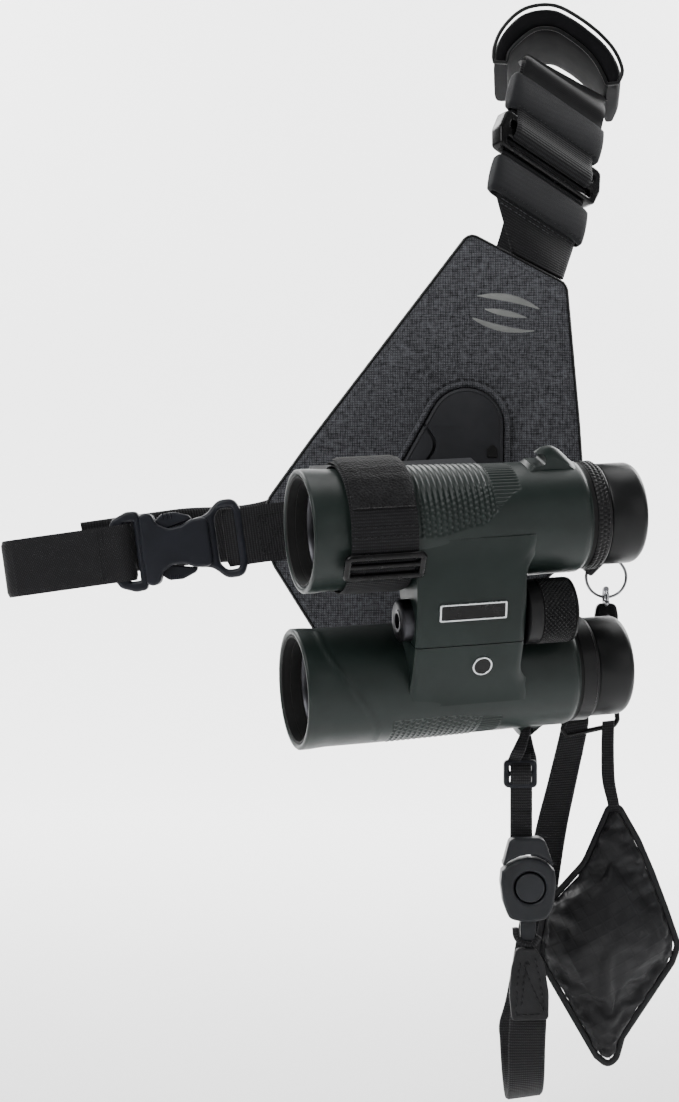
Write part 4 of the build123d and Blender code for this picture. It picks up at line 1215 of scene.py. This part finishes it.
def make_pad():
    """The arched shoulder pad: a stuffed, bound brim over the strap."""
    outer = [(27, 214), (27.5, 221), (31, 229), (38, 236.5), (46, 240), (56, 240), (66, 235), (76, 227.5),
             (83.5, 219), (87, 210), (85, 204)]
    inner = [(33.5, 213.5), (34.5, 218.5), (39, 223.5), (44, 227.5), (49, 229.5), (56, 229), (63, 225),
             (70, 219.5), (75, 213.5), (78.5, 207), (80, 203.5)]
    outer = curve_through([(x, z, 0) for x, z in outer], 4)
    inner = curve_through([(x, z, 0) for x, z in inner], 4)
    points = []
    sides = 24
    for i, (o, n) in enumerate(zip(outer, inner)):
        middle_line, reach = (o + n) / 2, (o - n) / 2
        for k in range(sides):
            angle = 2 * math.pi * k / sides
            c, s = math.cos(angle), math.sin(angle)
            deep = math.copysign(abs(c) ** 0.35, c)
            lift = math.copysign(abs(s) ** 0.6, s)
            y = 76 + 23.5 * deep
            soft = 1 + 0.05 * noise.noise(Vector((i * 0.35, angle * 2, 3)))
            t = (y - 52) / 48
            points.append((middle_line.x + reach.x * lift * soft + 4 * t, y,
                           middle_line.y + reach.y * lift * soft - 9 * t))
    count = len(outer)
    faces = grid_faces(count, sides)
    faces += [tuple(reversed(range(sides))), tuple(range((count - 1) * sides, count * sides))]
    pad = piece("stuffed_pad", points, faces, "neoprene", "harness", slot="pad", replaces=["shoulder_pad"],
                sharp=70)
    rim = [Vector((p.x + 0.2, 52.6, p.y))
           for p in outer] + [Vector((p.x, 52.6, p.y)) for p in reversed(inner)]
    tube("pad_piping", rim, 0.9, "black_rubber", "harness", closed=True, slot="binding")


def make_back_webbing():
    rows = [((46, 66, 216), (82, 82, 197)), ((45, 96, 196), (79, 108, 182)), ((26, 84, 120), (50, 88, 104)),
            ((-22, 62, 50), (2, 64, 30)), ((-72, 40, 12), (-64, 40, -12)), ((-118, 12, 5), (-112, 12, -20)),
            ((-160, 8.5, -1), (-156, 8.5, -25))]
    strap("back_strap", rows, 1.8, "webbing", "harness", steps=14, columns=20, slot="webbing",
          replaces=["back_webbing"])


# ---------------------------------------------------------------- ring, hook and gate
RING_RADIUS = 8.8
RING_WIRE = 0.62


def make_ring():
    centre = middle("split_ring")
    place = front_place(centre)
    coil = []
    for k in range(97):
        t = 4 * math.pi * k / 96 + 0.6
        shift = RING_WIRE * math.sin(t / 2 + 0.4)
        coil.append(place(RING_RADIUS * math.cos(t), RING_RADIUS * math.sin(t), shift))
    tube("ring_coil", coil, RING_WIRE, "dark_steel", "ring", slot="steel", replaces=["split_ring"], sides=12)
    turn = math.radians(45)
    spot = place(-RING_RADIUS * math.sin(turn), RING_RADIUS * math.cos(turn), 0)
    out = Vector((-math.sin(turn), 0, math.cos(turn)))
    wide = Vector((math.cos(turn), 0, math.sin(turn))) * 4.6
    line = [(13.5, 1.6), (8, 2.3), (3.5, 3.0), (0, 3.4), (-2.6, 2.2), (-3.4, 0), (-2.6, -2.2), (0, -3.4),
            (4, -3.0), (9, -2.2)]
    rows = []
    for reach, deep in line:
        p = spot + out * reach + Vector((0, -deep, 0))
        rows.append((p - wide, p + wide))
    strap("ring_tab", rows, 1.2, "narrow", "harness", slot="webbing", replaces=["ring_tab_webbing"],
          columns=10)
    bar = [spot + out * 6.5 + Vector((0, -3.4, 0)) + wide * t for t in (-0.8, 0.8)]
    threads("ring_tab_stitch", dashes(bar, 1.6, 0.6), "harness", (0, -1, 0), "thread", 0.22)


def make_hook():
    centre = middle("split_ring")
    claw = front_place(Vector((centre.x, centre.y, centre.z - RING_RADIUS)))
    hook = []
    for k in range(25):
        t = math.radians(100 - 250 * k / 24)
        hook.append(claw(0, 3.6 * math.sin(t), -3.6 * math.cos(t)))
    tube("hook_claw", hook, lambda t: 1.5 - 0.35 * t if t > 0.1 else 1.25, "dark_steel", "tether",
         slot="steel", replaces=["snap_hook"], sides=14)
    gate = [claw(0, -1.2, 3.5), claw(0, 0.2, 3.75), claw(0, 1.6, 3.3), claw(0, 2.6, 2.6)]
    tube("hook_gate_bar", gate, 0.95, "steel", "gate", slot="steel", replaces=["hook_gate"], sides=12)
    body = arc_points([(-4.2, -2.6, 3), (4.2, -2.6, 3), (5.2, -8, 3), (5.0, -15, 3), (3.2, -25.5, 2),
                       (-3.2, -25.5, 2), (-5.0, -15, 3), (-5.2, -8, 3)])
    solid("hook_body", body, -2.4, 2.4, 1.2, "plate", "tether", place=claw, slot="steel")
    for k in range(3):
        dot = [claw(0.6, -8.5 - 3.4 * k, 2.35), claw(0.6, -8.5 - 3.4 * k, 2.75)]
        tube("hook_rivet_%d" % k, dot, 0.85, "steel", "tether", slot="steel", sides=16)
    collar = rectangle(-3.6, -21.0, 3.6, -23.6, 1)
    solid("hook_collar", collar, -3.0, 3.0, 0.7, "anodised", "tether", place=claw, slot="steel")
    eye = [(-1.8, -25.2), (2.4, -25.2), (5.0, -54), (3.6, -56.3), (-17.5, -61.0), (-19.2, -58.2)]
    path = []
    for k, (x, y) in enumerate(eye):
        nx, ny = eye[(k + 1) % len(eye)]
        path += [claw(x + (nx - x) * t / 6, y + (ny - y) * t / 6, 0) for t in range(6)]
    tube("hook_link", path, 1.15, "plate", "tether", closed=True, slot="steel")


# ---------------------------------------------------------------- leash, quick release and tether
def make_leash():
    place = front_place(middle("leash_slider"))
    frame_line = rectangle(-8.0, 6.6, 6.2, -5.2, 2.4)
    holes = [rectangle(-5.6, y + 2.6, 3.8, y, 0.6) for y in (1.7, -2.9)]
    solid("leash_slider_frame", frame_line, -2.4, 2.4, 1.0, "buckle", "leash", holes=holes, place=place,
          slot="buckle", replaces=["leash_slider"])
    over = [(9, 0.4), (5.2, 1.8), (3.3, 3.2), (0.8, 3.7), (-1.6, 3.1), (-3.6, 1.6), (-5.6, -0.2)]
    strap("leash_slider_fold", [((-5.3, y, d), (3.5, y, d)) for y, d in over], 1.3, "narrow", "leash",
          place=place, slot="tether", columns=10)
    down = [(-3.6, 0.4), (-9, 0.2), (-18, 0), (-27.5, 0)]
    strap("leash_strap", [((-5.2, y, d), (4.2, y, d)) for y, d in down], 1.6, "narrow", "leash",
          place=place, slot="tether", replaces=["leash_webbing"], columns=10)
    tack = dashes([place(x, -15.6, 1.1) for x in between(-4.4, 3.6, 2)], 1.5, 0.6)
    threads("leash_tack", tack, "leash", (0, -1, 0), "thread", 0.24)
    lug = BINO.origin + BINO.x * 103.0 - BINO.y * (half_spacing + 26.1)
    spot = Vector((lug.x, lug.y, lug.z))
    turn = [(-4.0, 4.4, 0), (-2.8, 8.0, 2.0), (-1.4, 11.6, 4.6)]
    rows = [((x - 3.0, y, d), (x + 2.4, y - 0.6, d + 0.6)) for x, y, d in turn]
    rows = [(place(*a), place(*b)) for a, b in rows]
    wide = BINO.x * 1.9
    for dy, dz in ((-5.4, 0.4), (-3.2, 1.2), (0, 1.3), (3.6, 1.2), (6.4, 0.4)):
        p = spot + Vector((0, dy, dz))
        rows.append((p - wide, p + wide))
    back = [(2.6, 11.0, -7.6), (3.4, 7.4, -5.0), (3.4, 4.4, -1.2)]
    rows += [(place(x - 2.2, y - 0.6, d), place(x + 3.0, y, d)) for x, y, d in back]
    strap("lug_strap", rows, 1.3, "narrow", "leash", slot="cord", replaces=["lug_loop"], columns=8, steps=6)


def make_release():
    button = middle("release_button")
    place = front_place(Vector((button.x, button.y + 5.5, button.z)))
    crown = [(-12.1, 7.0, 0.6), (-9.0, 9.8, 3), (-5.0, 11.7, 4), (-0.8, 12.5, 5), (3.6, 11.8, 4),
             (7.2, 10.0, 3), (10.2, 7.2, 0.6)]
    body = crown + [(10.8, 2.0, 6), (9.8, -7.5, 8), (7.2, -13.2, 4), (-1.2, -14.9, 12), (-9.0, -13.2, 4),
                    (-11.6, -6, 8), (-12.6, 2.0, 6)]
    solid("release_housing", arc_points(body), -5.8, 5.8, 1.4, "release", "tether",
          holes=[circle(-0.2, 0, 6.6)], place=place, slot="release_plastic",
          replaces=["release_socket", "release_spring"], segments=4)
    floor = circle(-0.2, 0, 7.4)
    solid("release_well", floor, -5.4, 0.4, 0.3, "inner_black", "tether", place=place, slot="release_plastic")
    solid("release_push", circle(-0.2, 0, 6.1), 2.2, 6.1, 0.5, "release", "button", place=place,
          slot="release_plastic", replaces=["release_button"], segments=4)
    top = [(x * 0.985, y + 1.3, r) for x, y, r in crown]
    top += [(6.2, 19.8, 3), (4.0, 20.9, 2), (-6.6, 20.9, 2), (-8.8, 19.8, 3)]
    solid("release_plug", arc_points(top), -5.2, 5.2, 1.2, "release", "leash", place=place,
          slot="release_plastic", replaces=["release_insert"], segments=4)
    stem = rectangle(-4.0, -13.6, 2.6, -23.0, 0.8)
    solid("release_tail", stem, -1.4, 1.4, 0.5, "release", "tether", place=place, slot="release_plastic",
          replaces=["tab_loop"])
    loop = [(-6.2, -17.5, 0.6), (-5.6, -21.5, 1.2), (-2.2, -24.3, 1.8), (1.6, -24.3, 1.6), (4.0, -21, 0.8)]
    rows = [((x, y, d - 2.0), (x, y, d + 2.0)) for x, y, d in loop]
    strap("tail_loop", rows, 2.4, "narrow", "tether", place=place, slot="tether", columns=6)


def make_tether():
    place = front_place(Vector(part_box("leather_tab")[0]) / MM)
    shape = arc_points([(3.4, 31.0, 2), (11.6, 31.0, 2), (15.0, 25.5, 8), (17.2, 12, 30), (17.0, 1.0, 2),
                        (1.6, 0.4, 2), (0.4, 12, 30), (1.2, 22, 12)])
    solid("leather_patch", shape, -0.6, 3.2, 0.8, "leather", "tether", place=place, slot="leather",
          replaces=["leather_tab"])
    seams = (((3.2, 3.0), (15.0, 3.6)),
             ((3.2, 3.0), (3.6, 15), (5.2, 27.5)),
             ((5.6, 7.0), (6.4, 17), (7.6, 26), (10.2, 22)),
             ((15.2, 5.0), (13.4, 17), (11.0, 28)),
             ((6.4, 24), (10.4, 14), (15.0, 4.4)))
    rows = []
    for seam in seams:
        rows += dashes([place(x, y, 3.35) for x, y in seam], 1.9, 0.9)
    threads("leather_stitching", rows, "tether", (0, -1, 0), "thread", 0.3)
    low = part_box("tether_webbing")[0]
    base = front_place(Vector((low.x, 0, low.z)) / MM)
    reach, deep, bottom = 26.5, 17.5, 27.4
    rows = [((1.4, 52, 45.2), (16.6, 52, 45.2)), ((0.9, 44, 44.6), (16.4, 44, 44.6)),
            ((0.4, 36, 44.2), (16.1, 36, 44.2)), ((0.1, bottom + 2, 44), (15.8, bottom + 2, 44))]
    for k in range(1, 12):
        t = math.pi * k / 12
        lean = 1.6 * math.sin(t)
        rows.append(((lean * 0.4, bottom - reach * math.sin(t), deep + reach * math.cos(t)),
                     (15.6 + lean * 0.2, bottom - reach * math.sin(t) + lean * 1.4,
                      deep + reach * math.cos(t))))
    rows += [((0, bottom, -9), (15.6, bottom, -9)), ((3.4, 40.4, -9), (19.2, 40.4, -9)),
             ((9.4, 75, -9), (24.4, 75, -9)), ((15.7, 111.4, -8.4), (29.7, 111.4, -8.4)),
             ((21.4, 136, -4.2), (34.4, 137, -4.2)), ((26.2, 158, 0.6), (38.6, 160, 0.6)),
             ((26.4, 162.4, 2.2), (38.4, 165.0, 2.2)), ((26.2, 160, 3.6), (38.2, 162, 3.6)),
             ((23.8, 146, 0.4), (36.2, 147.6, 0.4))]
    strap("tether_strap", rows, 1.7, "narrow", "tether", place=base, slot="tether",
          replaces=["tether_webbing"], columns=16, steps=6)


# ---------------------------------------------------------------- pouch
POUCH_VOXEL = 0.0024
POUCH_MOST_SWELL = 0.009
HELD_WIDTH = 0.003
AIR_PRESSURE = 4
CLOTH_FRAMES = 20


def make_pouch():
    low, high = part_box("pouch")
    low, high = low / MM, high / MM
    depth = -(low.y + high.y) / 2
    corners = [(74.5, -127, 2), (78, -127, 2), (86, -141, 20), (92, -155, 25), (98, -171, 25),
               (103.5, -187, 4), (101, -194, 4), (79, -227, 6), (76.5, -236, 4), (73.5, -238.6, 3),
               (69, -235, 4), (43, -190, 6), (44.6, -181, 4), (47, -169.5, 5), (54, -162, 10), (64, -151, 20)]
    outline = arc_points(corners, 8)
    line = []
    for start, end in zip(outline, outline[1:] + outline[:1]):
        count = max(1, round((end - start).length / 1.6))
        line += [start.lerp(end, k / count) for k in range(count)]
    centre = Vector((72, -184))
    place = front_place(Vector((0, -depth, 0)))
    rings = [1.0, 0.97, 0.93, 0.88, 0.81, 0.72, 0.62, 0.5, 0.38, 0.26, 0.13]
    points = []
    for side in (1, -1):
        for s in rings if side > 0 else rings[::-1]:
            for p in line:
                flat = centre.lerp(p, s * 0.985)
                away = 1 - s
                swell = 1.2 + 7.0 * math.sqrt(min(1.0, away * 1.15))
                points.append((flat.x, flat.y, side * swell))
    count = len(line)
    shell_faces = []
    total = 2 * len(rings)
    order = list(range(len(rings) - 1, -1, -1)) + list(range(total - 1, len(rings) - 1, -1))
    for a, b in zip(order, order[1:]):
        for k in range(count):
            n = (k + 1) % count
            shell_faces.append((a * count + k, a * count + n, b * count + n, b * count + k))
    shell_faces.append(tuple(order[0] * count + k for k in reversed(range(count))))
    shell_faces.append(tuple(order[-1] * count + k for k in range(count)))
    body = piece("pouch_body", points, shell_faces, "ripstop", "pouch", slot="ripstop", replaces=["pouch"],
                 place=place, sharp=180)
    puff(body, voxel=POUCH_VOXEL, cap=POUCH_MOST_SWELL, keep=[place(p.x, p.y, 0) * MM for p in line])
    wrinkle(body, place, line)
    edging("pouch_seam", grown(line, -0.7), 0.0, 1.5, 0.7, "ripstop", "pouch", place=place, slot="ripstop")
    run = [p for p in line if p.y < -186 and p.x < 76]
    rows = [place(p.x + 2.4, p.y + 1.2, 2.6) for p in run]
    threads("pouch_stitching", dashes(rows[::3], 2.0, 1.2), "pouch", (0, -1, 0), "thread", 0.2)
    hook = middle("pouch_strap")
    rows = [(Vector((71.0, hook.y, -88.6)), Vector((76.4, hook.y, -88.0))),
            (Vector((70.6, hook.y, -100)), Vector((76.2, hook.y, -100))),
            (Vector((70.9, hook.y, -114)),
             Vector((76.6, hook.y, -114))), (Vector((73.2, hook.y, -124)), Vector((78.4, hook.y, -124))),
            (Vector((74.6, hook.y, -131)), Vector((79.2, hook.y, -130)))]
    strap("pouch_hanger", rows, 1.4, "narrow", "pouch", slot="webbing", replaces=["pouch_strap"], columns=8)


def puff(obj, voxel, cap, keep):
    """Inflate a closed piece with cloth: its outline is held, and no point moves more than the cap."""
    remesh = obj.modifiers.new("remesh", "REMESH")
    remesh.mode = "VOXEL"
    remesh.voxel_size = voxel
    bake(obj)
    start = [v.co.copy() for v in obj.data.vertices]
    group = obj.vertex_groups.new(name="held")
    for v in obj.data.vertices:
        near = min((v.co - p).length for p in keep)
        group.add([v.index], max(0.0, 1.0 - near / HELD_WIDTH), "REPLACE")
    cloth = obj.modifiers.new("cloth", "CLOTH")
    cloth.settings.quality = 8
    cloth.settings.mass = 0.1
    cloth.settings.tension_stiffness = 8
    cloth.settings.compression_stiffness = 8
    cloth.settings.bending_stiffness = 0.05
    cloth.settings.use_pressure = True
    cloth.settings.uniform_pressure_force = AIR_PRESSURE
    cloth.settings.shrink_min = -0.12
    cloth.settings.vertex_group_mass = "held"
    cloth.settings.effector_weights.gravity = 0
    for step in range(1, CLOTH_FRAMES + 1):
        bpy.context.scene.frame_set(step)
    moved = [v.co.copy() for v in obj.evaluated_get(bpy.context.evaluated_depsgraph_get()).data.vertices]
    obj.modifiers.clear()
    for v, a, b in zip(obj.data.vertices, start, moved):
        change = b - a
        v.co = a + (change if change.length < cap else change.normalized() * cap)
    bpy.context.scene.frame_set(1)
    smooth = obj.modifiers.new("smooth", "SUBSURF")
    smooth.levels = smooth.render_levels = 1
    bake(obj)


def wrinkle(obj, place, line):
    """Gathers that run in from the seam, and soft folds across the middle."""
    spots = [place(p.x, p.y, 0) * MM for p in line]
    for v in obj.data.vertices:
        near, index = min(((v.co - s).length, i) for i, s in enumerate(spots))
        run = index * 1.6
        gather = math.sin(run * 0.55 + 3 * noise.noise(Vector((run * 0.08, 0, 1)))) * math.exp(-near / 0.010)
        gather *= smoothstep(0.0, 0.003, near) * (0.5 + 0.8 * noise.noise(Vector((run * 0.05, 3, 1))) + 0.3)
        fold = noise.noise(Vector((v.co.x * 42 + v.co.z * 18, v.co.z * 14,
                                   4.0))) * smoothstep(0.004, 0.02, near)
        side = -1 if v.co.y < place.origin.y * MM else 1
        v.co.y += side * (0.0011 * gather + 0.0009 * fold)


make_panel()
make_motif()
make_receptor()
make_wrap()
make_side()
make_shoulder()
make_pad()
make_back_webbing()
make_ring()
make_hook()
make_leash()
make_release()
make_tether()
make_pouch()


# ---------------------------------------------------------------- CAD nodes that stay
STAYING = {"panel_lining": "mesh", "adapter_hub": "plastic", "adapter_cradle": "plastic",
           "receptor_screws": "steel", "receptor_backplate": "steel", "prism_upper": "glass",
           "prism_lower": "glass", "focus_carrier": "anodised"}

for name, obj in frame["nodes"].items():
    if not obj.hide_render:
        obj.data.materials.clear()
        obj.data.materials.append(M[STAYING.get(name, "plastic")])
